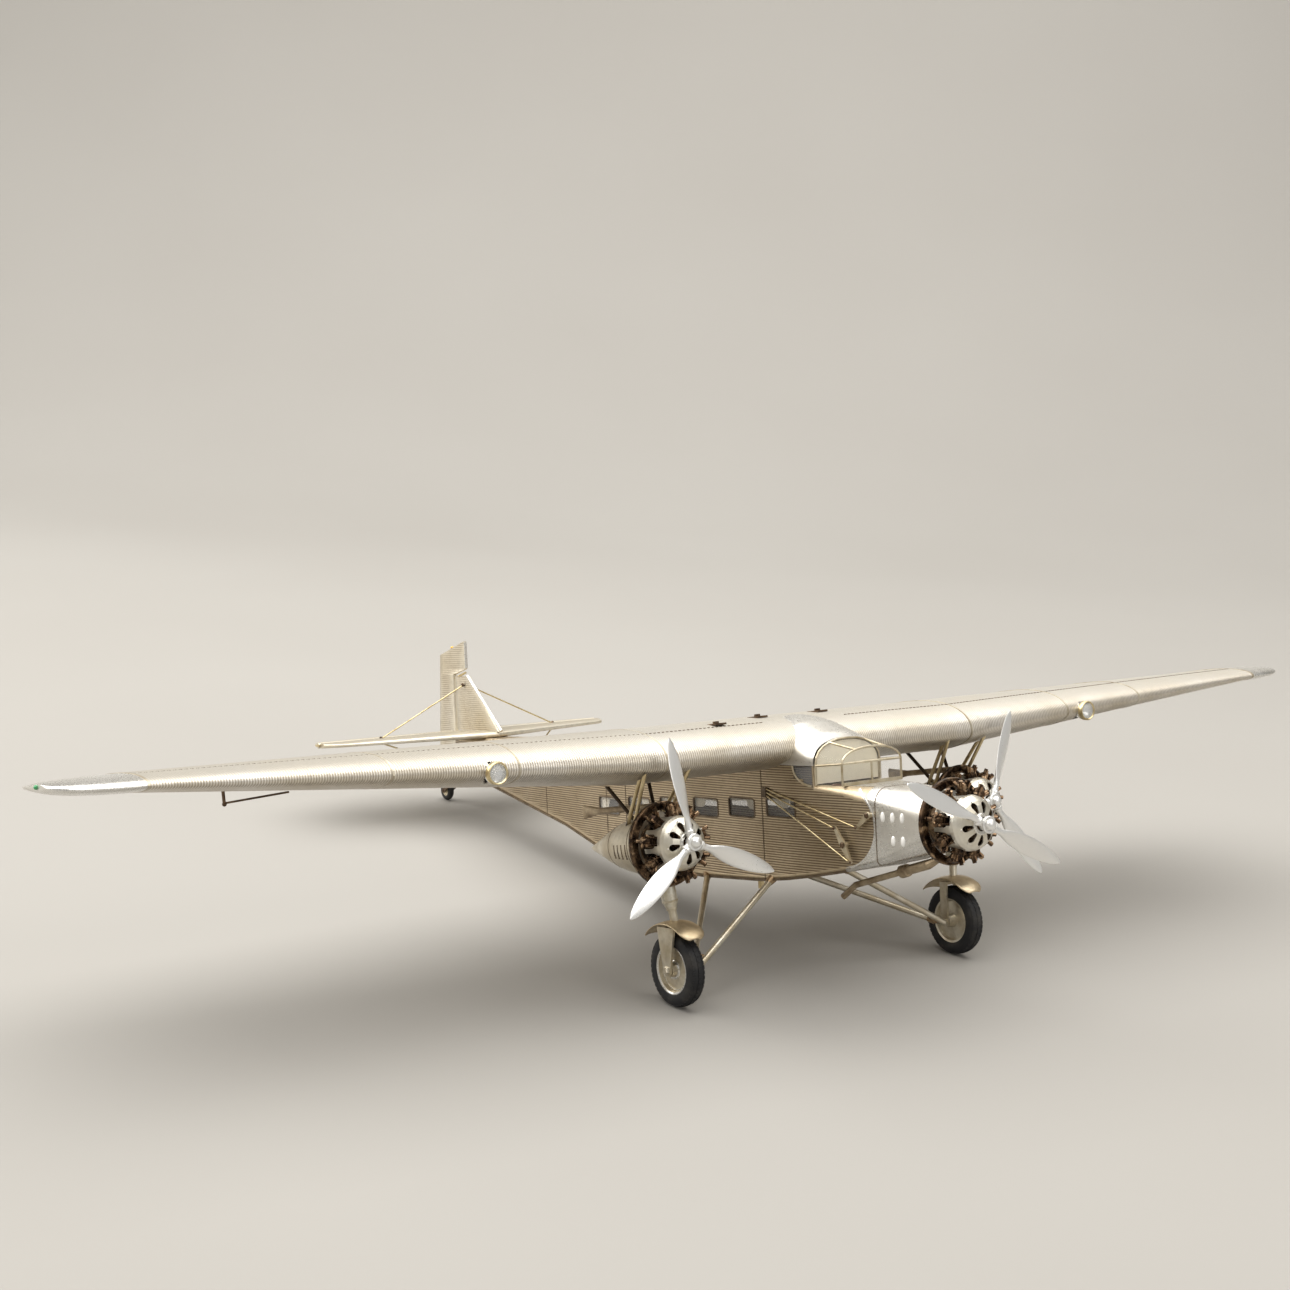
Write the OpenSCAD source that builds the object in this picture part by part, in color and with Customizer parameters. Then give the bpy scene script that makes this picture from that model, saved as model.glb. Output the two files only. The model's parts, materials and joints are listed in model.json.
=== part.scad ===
// Scratch-built metal model of a three-engined, corrugated, high-wing airliner of the late 1920s.
//
// Every piece is drawn in the flying frame: the nose propeller's hub is at the origin, X points
// forwards, Y to the aircraft's left and Z up. A "station" is a distance aft of that hub, so it is
// a negative X. The module stand() pitches the nose up until the main wheels and the tail wheel
// meet the ground, and centres the model over the ground point below its middle.

/* [Wing] */
// Span over the wing tips
wing_span = 742; // [700:1:790]
// Width of the constant-chord centre section
center_span = 190; // [180:1:200]
// Length of each rounded tip piece
tip_len = 36; // [28:1:44]
// Chord of the centre section
root_chord = 124; // [118:1:130]
// Chord where the tip piece begins
tip_chord = 76; // [68:1:84]
// Station of the centre section's leading edge
wing_station = 104; // [102:0.5:106]
// How far the leading edge sweeps aft by the tip joint
le_sweep = 17; // [10:1:24]
// Height of the centre section's leading edge
root_height = 30.5; // [30:0.5:32]
// Height of the leading edge at the tip joint
tip_height = 42.5; // [38:0.5:46]
// Height of the upper surface over the chord line at the root
root_crown = 15.5; // [14:0.5:17]
// Depth of the lower surface under the chord line at the root
root_belly = 10; // [9:0.5:10.5]
// Height of the upper surface over the chord line at the tip joint
tip_crown = 4.5; // [3.5:0.5:6]
// Depth of the lower surface under the chord line at the tip joint
tip_belly = 3; // [2.5:0.5:4]
// Thickness of the wing's sheet metal
wing_skin = 1; // [0.8:0.1:1.3]

/* [Ailerons] */
// Length of each aileron along the span
aileron_len = 123; // [110:1:130]
// Distance from each aileron's outer end to the tip joint
aileron_inset = 7; // [5:1:12]
// Distance from the aileron's hinge to the trailing edge
aileron_chord = 19; // [16:1:22]

/* [Fuselage] */
// Half width of the cabin
cabin_half = 23.5; // [22.5:0.25:24.5]
// Half width at the windscreen
screen_half = 18.8; // [18:0.2:19.6]
// Radius of the nose where it meets the engine
nose_r = 13.8; // [13:0.2:14.6]
// Station of the windscreen
screen_station = 73.5; // [72:0.5:75]
// Station of the cockpit's rear frame
hoop_station = 91; // [90:0.5:92.5]
// Height of the cockpit sill
sill_height = 14; // [13.5:0.25:14.5]
// Depth of the belly under the cabin
belly_depth = 35.3; // [34:0.25:36.5]
// Height of the rear fuselage's deck under the tailplane
deck_height = 25.3; // [24.5:0.1:26]
// Thickness of the fuselage's sheet metal
body_skin = 1; // [0.8:0.1:1.2]
// Length of a cabin window
window_len = 20; // [18:0.5:22]
// Height of a cabin window
window_h = 9; // [7:0.5:10]
// Distance from one cabin window to the next
window_pitch = 29.2; // [28:0.1:30]
// Number of cabin windows on each side
window_count = 6; // [4:1:6]

/* [Tail] */
// Half span of the tailplane
tail_half_span = 97; // [85:1:105]
// Station of the tailplane's leading edge at the centre
tailplane_station = 403; // [398:1:408]
// Station of the elevator's hinge
elevator_station = 447; // [446:0.5:448]
// Station of the elevator's trailing edge
elevator_end = 467; // [462:1:470]
// Station of the rudder's hinge
rudder_station = 452.5; // [452:0.5:454]
// Station of the rudder's trailing edge at its foot
rudder_end = 474; // [470:0.5:477]
// Height of the top of the rudder
rudder_top = 83; // [78:1:88]
// Height of the top of the fin
fin_top = 63; // [60:0.5:66]

/* [Engines] */
// Distance from the centre line to each wing engine
engine_offset = 93.5; // [92:0.5:95]
// Station of the wing engines' propellers
engine_station = 90.4; // [88:0.2:92]
// Drop of the wing engines under the nose engine's line
engine_drop = 4.2; // [3:0.2:5]
// Angle by which the wing engines and their nacelles point up
engine_tilt = 6; // [4:0.5:7]
// Number of cylinders in each radial engine
cylinder_count = 9; // [7:2:9]
// Radius of an engine over its cylinder heads
engine_r = 18.4; // [17.8:0.1:19]
// Radius of the domed front cowl
cowl_r = 12.6; // [12.2:0.1:13]
// Outer radius of the exhaust collector ring
collector_r = 19.6; // [19:0.1:20.2]
// Radius of the nacelle's front end
nacelle_r = 15; // [14:0.2:15.6]
// Station of the nacelles' pointed tails
nacelle_end = 172; // [165:1:178]

/* [Propellers] */
// Radius of the three-bladed wing propellers
wing_prop_r = 48; // [42:0.5:52]
// Radius of the two-bladed nose propeller
nose_prop_r = 50; // [44:0.5:54]
// Greatest width of a blade
blade_width = 8.6; // [6:0.2:9]
// Radius of the propeller shafts
shaft_r = 1.2; // [1:0.1:1.4]
// Radial clearance of everything that turns on a shaft
running_gap = 0.05; // [0.03:0.01:0.08]

/* [Landing gear] */
// Radius of the main tyres
tyre_r = 17.4; // [16.5:0.1:18.5]
// Width of the main tyres
tyre_w = 8; // [7:0.5:9]
// How far each main wheel stands inside the line of its engine
wheel_inset = 6.1; // [5:0.1:7]
// Station of the main axles
axle_station = 114.5; // [112:0.5:117]
// Depth of the main axles under the nose propeller's line
axle_depth = 65; // [62:0.5:68]
// Radius of the main axles
axle_r = 1.3; // [1.1:0.1:1.5]
// Radius of the tail tyre
tail_tyre_r = 6; // [5.5:0.25:6.5]
// Station of the tail wheel's axle
tail_axle_station = 467.5; // [466:0.5:469]
// Depth of the tail wheel's axle under the nose propeller's line
tail_axle_depth = 9.3; // [8.5:0.1:10.5]

/* [Hidden] */

half_span = wing_span / 2;
joint_y = center_span / 2;
tip_y = half_span - tip_len;
aileron_out = tip_y - aileron_inset;
aileron_in = aileron_out - aileron_len;
gear_half = engine_offset - wheel_inset;
seam = 0.1; // gap between two sheets that meet edge to edge
far = 600; // longer than anything that a cutting shape has to pass
pin_gap = 0.5; // gap along a shaft at each end of what turns on it

silver = [0.80, 0.78, 0.73];
champagne = [0.66, 0.60, 0.48];
bronze = [0.22, 0.16, 0.11];
brass = [0.72, 0.58, 0.32];
polished = [0.90, 0.90, 0.89];
tan_metal = [0.66, 0.57, 0.42];
black = [0.08, 0.08, 0.08];
smoke = [0.25, 0.25, 0.24, 0.6];
cream = [0.86, 0.80, 0.68];

// Pitch and height of the standing model, from the two wheels that touch the ground
wheel_dx = tail_axle_station - axle_station;
wheel_dz = tail_axle_depth - axle_depth;
stand_angle = asin((tyre_r - tail_tyre_r) / norm([wheel_dx, wheel_dz])) - atan2(wheel_dz, wheel_dx);
stand_height = tyre_r + axle_station * sin(stand_angle) + axle_depth * cos(stand_angle);
// The middle of the standing model lies between the nose propeller's nut and the rudder's top corner
nut_front = 5;
rudder_tip_station = rudder_end - 6.5;
rudder_tip_z = rudder_top - 9;
stand_shift = (rudder_tip_station * cos(stand_angle) + rudder_tip_z * sin(stand_angle) - nut_front) / 2;

module stand() {
    translate([stand_shift, 0, stand_height]) rotate([0, -stand_angle, 0]) children();
}

function at(station, y, z) = [-station, y, z];

// A straight round rod or cone from one point to another
module rod(a, b, r, r_end = -1) {
    v = b - a;
    length = norm(v);
    translate(a) rotate([0, acos(v.z / length), atan2(v.y, v.x)])
        cylinder(h = length, r1 = r, r2 = r_end < 0 ? r : r_end, $fn = 24);
}

// A closed solid through rings of points, all with the same number of points
module loft(rings) {
    n = len(rings[0]);
    last = len(rings) - 1;
    sides = [for (j = [0 : last - 1], i = [0 : n - 1]) each
        let (a = j * n + i, b = j * n + (i + 1) % n)
        [[a, b, b + n], [a, b + n, a + n]]];
    start_cap = [for (i = [n - 1 : -1 : 0]) i];
    end_cap = [for (i = [0 : n - 1]) last * n + i];
    polyhedron(
        points = [for (r = rings) each r],
        faces = concat([start_cap], sides, [end_cap]),
        convexity = 8
    );
}

// Both sides of the aircraft: what is drawn is the left one
module both_sides() {
    children();
    mirror([0, 1, 0]) children();
}

module left_or_right(side) {
    if (side > 0) children();
    else mirror([0, 1, 0]) children();
}

// Wing

function mix(a, b, t) = a + (b - a) * t;
function panel_t(y) = max(0, (y - joint_y) / (tip_y - joint_y));
function le_at(y) = wing_station + le_sweep * panel_t(y);
function chord_at(y) = mix(root_chord, tip_chord, panel_t(y));
function te_at(y) = le_at(y) + chord_at(y);
function height_at(y) = mix(root_height, tip_height, panel_t(y));
function crown_at(y) = mix(root_crown, tip_crown, panel_t(y));
function belly_at(y) = mix(root_belly, tip_belly, panel_t(y));
te_slope = 0.028; // how far a section drops towards its tail, as a share of its chord
te_half = 0.4; // half thickness of the trailing edge

// Thickness of a streamlined section, 1 at its thickest, for t from 0 at the nose to 1 at the tail
function thickness(t) = 10
    * (0.2969 * sqrt(t) - 0.126 * t - 0.3516 * pow(t, 2) + 0.2843 * pow(t, 3) - 0.1036 * pow(t, 4));
section_steps = [0, 0.012, 0.05, 0.12, 0.22, 0.35, 0.5, 0.65, 0.8, 0.92, 1];

least_half = 0.15; // least half thickness of the hollow inside a section
// Half thickness of a section over or under its chord line, less the inset
function half_depth(depth, t, inset) = max(depth * thickness(t) + te_half * t - inset, least_half);

// Points of a wing section as [station, z], from the tail along the lower surface to the nose and
// back along the upper one; inset makes the inside of the skin, up to the share t_end of the chord
function section(le, le_z, chord, crown, belly, inset = 0, t_end = 1) = let (
        steps = [for (k = section_steps) inset == 0 ? k * t_end : mix(inset / chord, t_end, k)],
        middle = [for (t = steps) [le + chord * t, le_z - te_slope * chord * t]],
        last = len(steps) - 1
    ) concat(
        [for (i = [last : -1 : 1]) middle[i] - [0, half_depth(belly, steps[i], inset)]],
        [for (i = [0 : last]) middle[i] + [0, half_depth(crown, steps[i], inset)]]
    );

function section_ring(y, inset = 0, t_end = 1) = [
    for (p = section(le_at(y), height_at(y), chord_at(y), crown_at(y), belly_at(y), inset, t_end))
        [-p[0], y, p[1]]
];

wing_clear = 0.06; // gap between the wing and what is cut round it
// The centre section's outline, or a larger one for cutting, as a prism across the aircraft
module root_prism(grow = 0, width = center_span) {
    outline = section(
        wing_station - grow, root_height, root_chord + grow, root_crown + grow, root_belly + grow
    );
    rotate([90, 0, 0]) linear_extrude(height = width, center = true)
        polygon([for (p = outline) [-p[0], p[1]]]);
}

center_hollow = 0.86; // share of the chord where the centre section's hollow ends
module wing_center() color(silver) difference() {
    inside = section(
        wing_station, root_height, root_chord, root_crown, root_belly, wing_skin, center_hollow
    );
    root_prism();
    rotate([90, 0, 0]) linear_extrude(height = far, center = true)
        polygon([for (p = inside) [-p[0], p[1]]]);
}

hinge_r_in = 3; // nose radius of an aileron at its inner end
hinge_r_out = 1.7; // nose radius of an aileron at its outer end
aileron_gap = 0.5; // gap between an aileron's nose and the wing
hinge_wire_r = 0.45;
function hinge_station(y) = te_at(y) - aileron_chord;
function hinge_t(y) = 1 - aileron_chord / chord_at(y);
function te_z(y) = height_at(y) - te_slope * chord_at(y);
function hinge_z(y) = height_at(y) - te_slope * chord_at(y) * hinge_t(y)
    + (crown_at(y) - belly_at(y)) * thickness(hinge_t(y)) / 2;
function hinge_at(y) = at(hinge_station(y), y, hinge_z(y));
bay_in = aileron_in - aileron_gap;
bay_out = aileron_out + aileron_gap;
// Where the hollow of the outer wing ends, ahead of the aileron's bay
function hollow_t(y) = 1 - (aileron_chord + 6.5) / chord_at(y);

light_y = 182.7; // distance from the centre line to each landing light
light_r = 5; // radius of a landing light's housing
light_front = le_at(light_y) - 2.6;
light_z = height_at(light_y) - 0.7;
light_clear = 0.05;

light_bore = 16; // how far the hole for a landing light goes into the wing
module wing_panel() color(silver) difference() {
    hollow_in = joint_y - 1;
    hollow_out = tip_y - 2;
    behind = 9; // how far the cut for the aileron's bay goes past the trailing edge
    loft([section_ring(joint_y + seam), section_ring(tip_y)]);
    loft([
        section_ring(hollow_in, wing_skin, hollow_t(hollow_in)),
        section_ring(hollow_out, wing_skin, hollow_t(hollow_out))
    ]);
    translate([0, 0, -far / 2]) linear_extrude(height = far) polygon([
        [-(hinge_station(bay_in) - hinge_r_in - aileron_gap), bay_in],
        [-(te_at(bay_in) + behind), bay_in],
        [-(te_at(bay_out) + behind), bay_out],
        [-(hinge_station(bay_out) - hinge_r_out - aileron_gap), bay_out],
    ]);
    rod(
        at(light_front - light_r, light_y, light_z),
        at(light_front + light_bore, light_y, light_z),
        light_r + light_clear
    );
}

module aileron() color(silver) difference() {
    hull() {
        rod(hinge_at(aileron_in), hinge_at(aileron_out), hinge_r_in, hinge_r_out);
        rod(at(te_at(aileron_in) - te_half, aileron_in, te_z(aileron_in)),
            at(te_at(aileron_out) - te_half, aileron_out, te_z(aileron_out)), te_half);
    }
    rod(hinge_at(aileron_in - 5), hinge_at(aileron_out + 5), hinge_wire_r + running_gap);
}

tip_steps = [0, 0.35, 0.62, 0.82, 0.95, 1];
tip_point_station = 147; // station of the outermost point
tip_end_chord = 14; // chord of the blunt outermost section
tip_end_height = tip_height + 1.5;
tip_end_crown = 1.2;
tip_end_belly = 1;
tip_round = 2.2; // power of the curve in which a tip rounds off
module wing_tip() color(polished) loft([for (u = tip_steps)
    let (y = tip_y + seam + (tip_len - seam) * u,
        k = sqrt(1 - pow(u, tip_round)),
        chord = mix(tip_end_chord, tip_chord, k),
        le = mix(tip_point_station - tip_end_chord / 2, le_at(tip_y), k),
        z = mix(tip_end_height, tip_height, k),
        crown = mix(tip_end_crown, tip_crown, k),
        belly = mix(tip_end_belly, tip_belly, k))
    [for (p = section(le, z, chord, crown, belly)) [-p[0], y, p[1]]]]);

// The channel that carries the outer panels, inside the centre section and 40 mm of each panel
module wing_spar() color(champagne) {
    spar_t = 0.3; // place along the chord
    reach = joint_y + 40;
    width = 6;
    wall = 0.8;
    clear = 0.3;
    low = height_at(reach) - belly_at(reach) + wing_skin + clear;
    high = root_height - te_slope * root_chord * spar_t + crown_at(reach) - wing_skin - clear;
    translate([-wing_station - spar_t * root_chord, 0, 0])
        rotate([90, 0, 0]) linear_extrude(height = 2 * reach, center = true) difference() {
            translate([-width / 2, low]) square([width, high - low]);
            translate([wall - width / 2, low + wall]) square([width, high - low - 2 * wall]);
        }
}

function wing_top_z(station) = let (t = (station - wing_station) / root_chord)
    root_height - te_slope * root_chord * t + root_crown * thickness(t) + te_half * t;

// A small plate with a round cap on it, for each of the three tanks
cap_places = [[126, -50], [136, -17], [136, 21]];
cap_plate = [8, 6.4, 0.9];
module filler_caps() color(bronze) difference() {
    for (place = cap_places)
        translate([-place[0], place[1], wing_top_z(place[0]) - 0.1]) rotate([0, -6, 0]) {
            translate([-cap_plate.x / 2, -cap_plate.y / 2, -0.3]) cube(cap_plate);
            cylinder(h = 1.6, r = 1.5, $fn = 24);
        }
    root_prism();
}

light_wall = 0.9;
light_depth = 10;
light_back = 2.2; // radius of a housing's closed back
light_taper = 3.5; // distance from the front where a housing begins to taper
light_bowl = 5.5; // depth of the hollow
module light_housings() color(silver) both_sides()
    translate(at(light_front, light_y, light_z)) rotate([0, -90, 0])
        rotate_extrude($fn = 48) polygon([
            [0, light_depth], [light_back, light_depth], [light_r - 0.2, light_taper], [light_r, 0],
            [light_r - light_wall, 0], [light_r - light_wall, light_taper - 0.5], [0, light_bowl]
        ]);

lens_r = light_r - light_wall - 0.05;
module light_lenses() color([0.9, 0.93, 0.95, 0.5]) both_sides()
    translate(at(light_front + 0.4, light_y, light_z)) rotate([0, -90, 0])
        rotate_extrude($fn = 48) polygon([[0, 1], [lens_r, 1], [lens_r, 0], [2.4, -0.7], [0, -0.95]]);

lamp_profile = [[0, 0], [1, 0], [1, 0.4], [0.7, 1], [0, 1.3]];
module nav_lights() for (side = [1, -1]) color(side > 0 ? "red" : "green")
    translate(at(tip_point_station, side * half_span, tip_end_height)) rotate([side * -90, 0, 0])
        rotate_extrude($fn = 24) polygon(lamp_profile);

// A thin arm that hangs under the right wing on a short post
pitot_y = 291; // distance from the centre line
pitot_station = 150;
pitot_drop = 6;
pitot_reach = 30;
module pitot_boom() color(bronze) {
    chord = chord_at(pitot_y);
    t = (pitot_station - le_at(pitot_y)) / chord;
    top = height_at(pitot_y) - te_slope * chord * t - half_depth(belly_at(pitot_y), t, 0);
    foot = at(pitot_station + 1, 0.8 - pitot_y, top - pitot_drop);
    rod(at(pitot_station, -pitot_y, top), foot, 0.7);
    rod(foot + [0, 0, 0.4], at(pitot_station, pitot_reach - pitot_y, top - 0.6 * pitot_drop), 0.45);
    translate(foot) sphere(r = 1, $fn = 24);
}

// Fuselage

wing_line = root_height - root_belly; // about where the wing's underside lies
body_end = rudder_station - 2.1;
// Stations of the fuselage: [station, half width, top, bottom, top corner radius, bottom corner radius]
body_stations = [
    [24, nose_r, 13.6, -13.8, 12.5, 9],
    [40, mix(nose_r, screen_half, 0.36), 14.4, -17.4, 10, 5],
    [55, mix(nose_r, screen_half, 0.68), 14.8, -21.2, 7.5, 3],
    [screen_station, screen_half, sill_height + 0.6, -25.2, 4, 2],
    [hoop_station, 20.8, sill_height + 0.4, -28.3, 2, 2],
    [hoop_station + 1, 20.9, wing_line + 4, -28.5, 1.4, 2],
    [110, 22.8, wing_line + 6.2, -31.2, 1.4, 2],
    [130, cabin_half, wing_line + 6.5, -33.4, 1.4, 2],
    [178, cabin_half, wing_line + 6.5, -belly_depth, 1.4, 2],
    [228, cabin_half - 0.5, 29.4, 1.2 - belly_depth, 2, 2],
    [266, 21.4, 28.6, -30, 2.5, 2],
    [309, 17.8, 27.4, -18.8, 3, 2],
    [396, 10.5, deck_height, -2.7, 2.5, 2],
    [436, 6.4, deck_height, 4.5, 2.5, 1.5],
    [body_end, 2.6, deck_height, 7.6, 1.2, 1],
];

function corner(y, z, r, start) =
    [for (k = [0 : 3]) [y + r * cos(start + 30 * k), z + r * sin(start + 30 * k)]];
function body_ring(st, inset = 0) = let (
        half = st[1] - inset,
        top = st[2] - inset,
        bottom = st[3] + inset,
        rt = max(st[4] - inset, 0.4),
        rb = max(st[5] - inset, 0.4)
    ) [for (p = concat(
        corner(half - rt, top - rt, rt, 0), corner(rt - half, top - rt, rt, 90),
        corner(rb - half, bottom + rb, rb, 180), corner(half - rb, bottom + rb, rb, 270)
    )) [-st[0], p[0], p[1]]];
// A station's values part of the way between two others
function between(a, b, t) = [for (i = [0 : len(a) - 1]) mix(a[i], b[i], t)];
function body_at(station, i = 0) = body_stations[i + 1][0] >= station
    ? between(body_stations[i], body_stations[i + 1],
        (station - body_stations[i][0]) / (body_stations[i + 1][0] - body_stations[i][0]))
    : body_at(station, i + 1);
function half_width(station) = body_at(station)[1];
function belly_z(station) = body_at(station)[3];

hollow_start = 25.5;
hollow_end = 425;
module body_solid(inset = 0) {
    if (inset == 0) loft([for (st = body_stations) body_ring(st)]);
    else loft(concat(
        [body_ring(body_at(hollow_start), inset)],
        [for (st = body_stations) if (st[0] > hollow_start && st[0] < hollow_end) body_ring(st, inset)],
        [body_ring(body_at(hollow_end), inset)]
    ));
}

// Side view of the smooth nose, whose rear edge is a half ellipse
edge_station = 76;
edge_z = -3.5;
edge_a = 22;
edge_b = 19.7;
module nose_outline(grow = 0) polygon(concat(
    [[30, 60], [-screen_station - grow, 60], [-screen_station - grow, sill_height - grow]],
    [for (a = [60 : -12.5 : -77.5])
        [-edge_station + (edge_a - grow) * cos(a), edge_z + (edge_b - grow) * sin(a)]],
    [[-screen_station - grow, -60], [30, -60]]
));
module nose_region(grow = 0)
    rotate([90, 0, 0]) linear_extrude(height = far, center = true) nose_outline(grow);

louvre_station = 48.8;
louvre_pitch = 5.8;
louvre_w = 1.8;
louvre_h = 5.6;
// Rows of louvres as [first one's place, number, height]
louvre_rows = [[0, 3, 1.8], [1, 2, -8.8]];
module louvres() for (row = louvre_rows, i = [0 : row[1] - 1])
    let (s = louvre_station - louvre_pitch * (row[0] + i))
        translate([-s - louvre_w / 2, 0, row[2] - louvre_h / 2]) cube([louvre_w, far, louvre_h]);

module nose_shell() color(polished) difference() {
    intersection() {
        difference() {
            body_solid();
            body_solid(body_skin);
        }
        nose_region();
    }
    both_sides() louvres();
    cockpit_opening();
    crank_holes();
}

module cockpit_opening() translate([-hoop_station + 0.5, 2 - screen_half, sill_height - 2])
    cube([hoop_station - 1 - screen_station, 2 * screen_half - 4, 40]);

window_first = 124.2; // station of the first window's rear edge
window_top = 7.4; // height of the first window's top
window_slope = 0.052; // how far the row drops for each millimetre aft
window_round = 1.6;
function window_station(i) = window_first + window_pitch * i;
function window_z(i) = window_top - window_slope * window_pitch * i;

module window_outline(i, inset = 0) translate([-window_station(i) + inset, window_z(i) - window_h + inset]) {
    w = window_len - 2 * inset;
    h = window_h - 2 * inset;
    r = window_round;
    translate([r, 0]) square([w - 2 * r, h]);
    translate([0, r]) square([w, h - 2 * r]);
    for (x = [r, w - r], y = [r, h - r]) translate([x, y]) circle(r = r, $fn = 24);
}
module quarter_window(inset = 0) {
    width = 12 - inset;
    height = 9.2 - inset;
    translate([-hoop_station - 1.4 - inset, wing_line + 3]) polygon(concat(
        [for (a = [0 : 15 : 90]) [-width * cos(a), -height * sin(a)]], [[0, 0]]));
}
module side_prism() rotate([90, 0, 0]) linear_extrude(height = far, center = true) children();

module cabin_shell() color(champagne) difference() {
    body_solid();
    body_solid(body_skin);
    nose_region(seam);
    cockpit_opening();
    root_prism(wing_clear);
    side_prism() {
        for (i = [0 : window_count - 1]) window_outline(i);
        quarter_window();
    }
    crank_holes();
    translate(at(tail_swivel_station, 0, 0))
        cylinder(h = tail_pin_top + pin_gap, r = tail_pin_r + running_gap, $fn = 24);
}

// Thin shell that follows the inside of the fuselage's wall
module inner_skin(outer, inner) difference() {
    body_solid(outer);
    body_solid(inner);
}

function arch(half, low, high, station, power = 2.3) = [for (k = [0 : 12])
    let (a = 15 * k, c = cos(a), s = sin(a))
    [-station, half * sign(c) * pow(abs(c), 2 / power), low + (high - low) * pow(abs(s), 2 / power)]];

screen_top = 25; // height of the windscreen's posts
screen_crown = 31.9; // height of the front hoop's crown
hoop_low = 23.5; // height of the rear hoop's feet
hoop_crown = 35.3; // height of the rear hoop's crown
hoop_half = 20.6; // half width of the rear hoop
hoop_r = 0.55;

// The roof between canopy and wing as [station, half width, crown], outside and inside
roof_power = 2.6; // how square its arches are
roof_outside = [
    [hoop_station + 1.2, 20.6, hoop_crown], [104, 22.6, 39.8], [114, 23.6, 43],
    [122, 22.5, 44.7], [128, 20, 45.3]
];
roof_inside = [[hoop_station, 19.6, hoop_crown - 1.3], [104, 21.6, 38.6], [109, 22, 40]];
module roof_fairing() color(polished) difference() {
    loft([for (st = roof_outside) arch(st[1], wing_line + 3, st[2], st[0], roof_power)]);
    loft([for (st = roof_inside) arch(st[1], wing_line, st[2], st[0], roof_power)]);
    root_prism(wing_clear);
    body_solid();
}

module tube(path, r) {
    last = len(path) - 1;
    loft([for (i = [0 : last]) let (
            d = path[min(i + 1, last)] - path[max(i - 1, 0)],
            side = cross(d, [1, 0, 0]) / norm(cross(d, [1, 0, 0])))
        [for (k = [0 : 7]) path[i] + r * (cos(45 * k) * side + sin(45 * k) * [1, 0, 0])]]);
}

rear_hoop = hoop_station - hoop_r - 0.1; // station of the rear hoop
front_power = 2.1; // how square the front hoop is
rear_power = 2.3; // and the rear one
screen_sill = sill_height + 0.65; // height of the windscreen's lower rail
screen_rail = 1.5; // and its depth
module canopy_frame() color(champagne) {
    front = arch(screen_half - hoop_r, screen_top, screen_crown, screen_station, front_power);
    rear = arch(hoop_half - hoop_r, hoop_low, hoop_crown, rear_hoop, rear_power);
    tube(front, hoop_r);
    tube(rear, hoop_r);
    for (k = [4, 8]) rod(front[k], rear[k], hoop_r);
    both_sides() {
        rod(at(screen_station, screen_half - hoop_r, screen_sill), front[0], hoop_r);
        rod(at(rear_hoop, hoop_half - hoop_r, sill_height + 0.45), rear[0], hoop_r);
        rod(front[0], rear[0], hoop_r);
    }
    rod(front[0], front[12], hoop_r);
    rod(at(screen_station, 0, screen_sill), at(screen_station, 0, screen_top), hoop_r);
    translate([-screen_station - 0.5, 1 - screen_half, screen_sill])
        cube([1, 2 * screen_half - 2, screen_rail]);
}

glass = 0.5; // thickness of the panes
pane_out = 0.3; // how deep the side panes lie in the fuselage's wall
module side_glass() intersection() {
    inner_skin(pane_out, pane_out + glass);
    side_prism() children();
}
module glazing() color(smoke) {
    low = screen_sill + screen_rail;
    fanlight = arch(
        screen_half - 3 * hoop_r - 0.3, screen_top + hoop_r + 0.1, screen_crown - hoop_r - 0.1, 0, front_power
    );
    side_glass() for (i = [0 : window_count - 1]) window_outline(i, 0.05);
    side_glass() quarter_window(0.1);
    both_sides() translate([-screen_station - glass / 2, hoop_r + 0.05, low])
        cube([glass, screen_half - 3 * hoop_r - 0.1, screen_top - low - hoop_r - 0.05]);
    translate([-screen_station - glass / 2, 0, 0]) rotate([90, 0, 90])
        linear_extrude(height = glass) polygon([for (p = fanlight) [p.y, p.z]]);
    canopy_roof();
    both_sides() side_pane();
}

// The clear roof between the hoops, a curved sheet whose outside lies this far inside their line
roof_pane_in = 0.8;
module canopy_roof() {
    front_at = screen_station + 0.9;
    rear_at = hoop_station - 1.4;
    function hoop_arch(front, inset) = front
        ? arch(screen_half - 0.5 - inset, screen_top + 0.7, screen_crown - inset, front_at, front_power)
        : arch(hoop_half - 0.5 - inset, hoop_low + 0.7, hoop_crown - inset, rear_at, rear_power);
    loft([for (front = [true, false]) let (inner = hoop_arch(front, roof_pane_in + glass))
        concat(hoop_arch(front, roof_pane_in), [for (i = [12 : -1 : 0]) inner[i]])]);
}

module side_pane() {
    low = sill_height + 0.8;
    a = at(screen_station + 0.8, screen_half - 0.9, 0);
    b = at(hoop_station - 1.4, hoop_half - 1.1, 0);
    translate([0, 0, low]) linear_extrude(height = hoop_low - 0.7 - low)
        polygon([[a.x, a.y], [b.x, b.y], [b.x, b.y - glass], [a.x, a.y - glass]]);
}

// A pair of tied curtains behind each window, as one sheet that hangs from its upper edge
module curtains() color(cream) intersection() {
    inner_skin(body_skin + 0.05, body_skin + 0.5);
    side_prism() for (i = [0 : window_count - 1]) translate([-window_station(i), window_z(i)])
        polygon([
            [-0.5, 0.4], [window_len + 0.5, 0.4], [window_len + 0.5, -6], [window_len - 2.5, -4.4],
            [window_len - 5, -1.4], [window_len / 2 + 1, -2.4], [6, -1.4], [3.4, -4.2], [-0.5, -5]
        ]);
}

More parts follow.
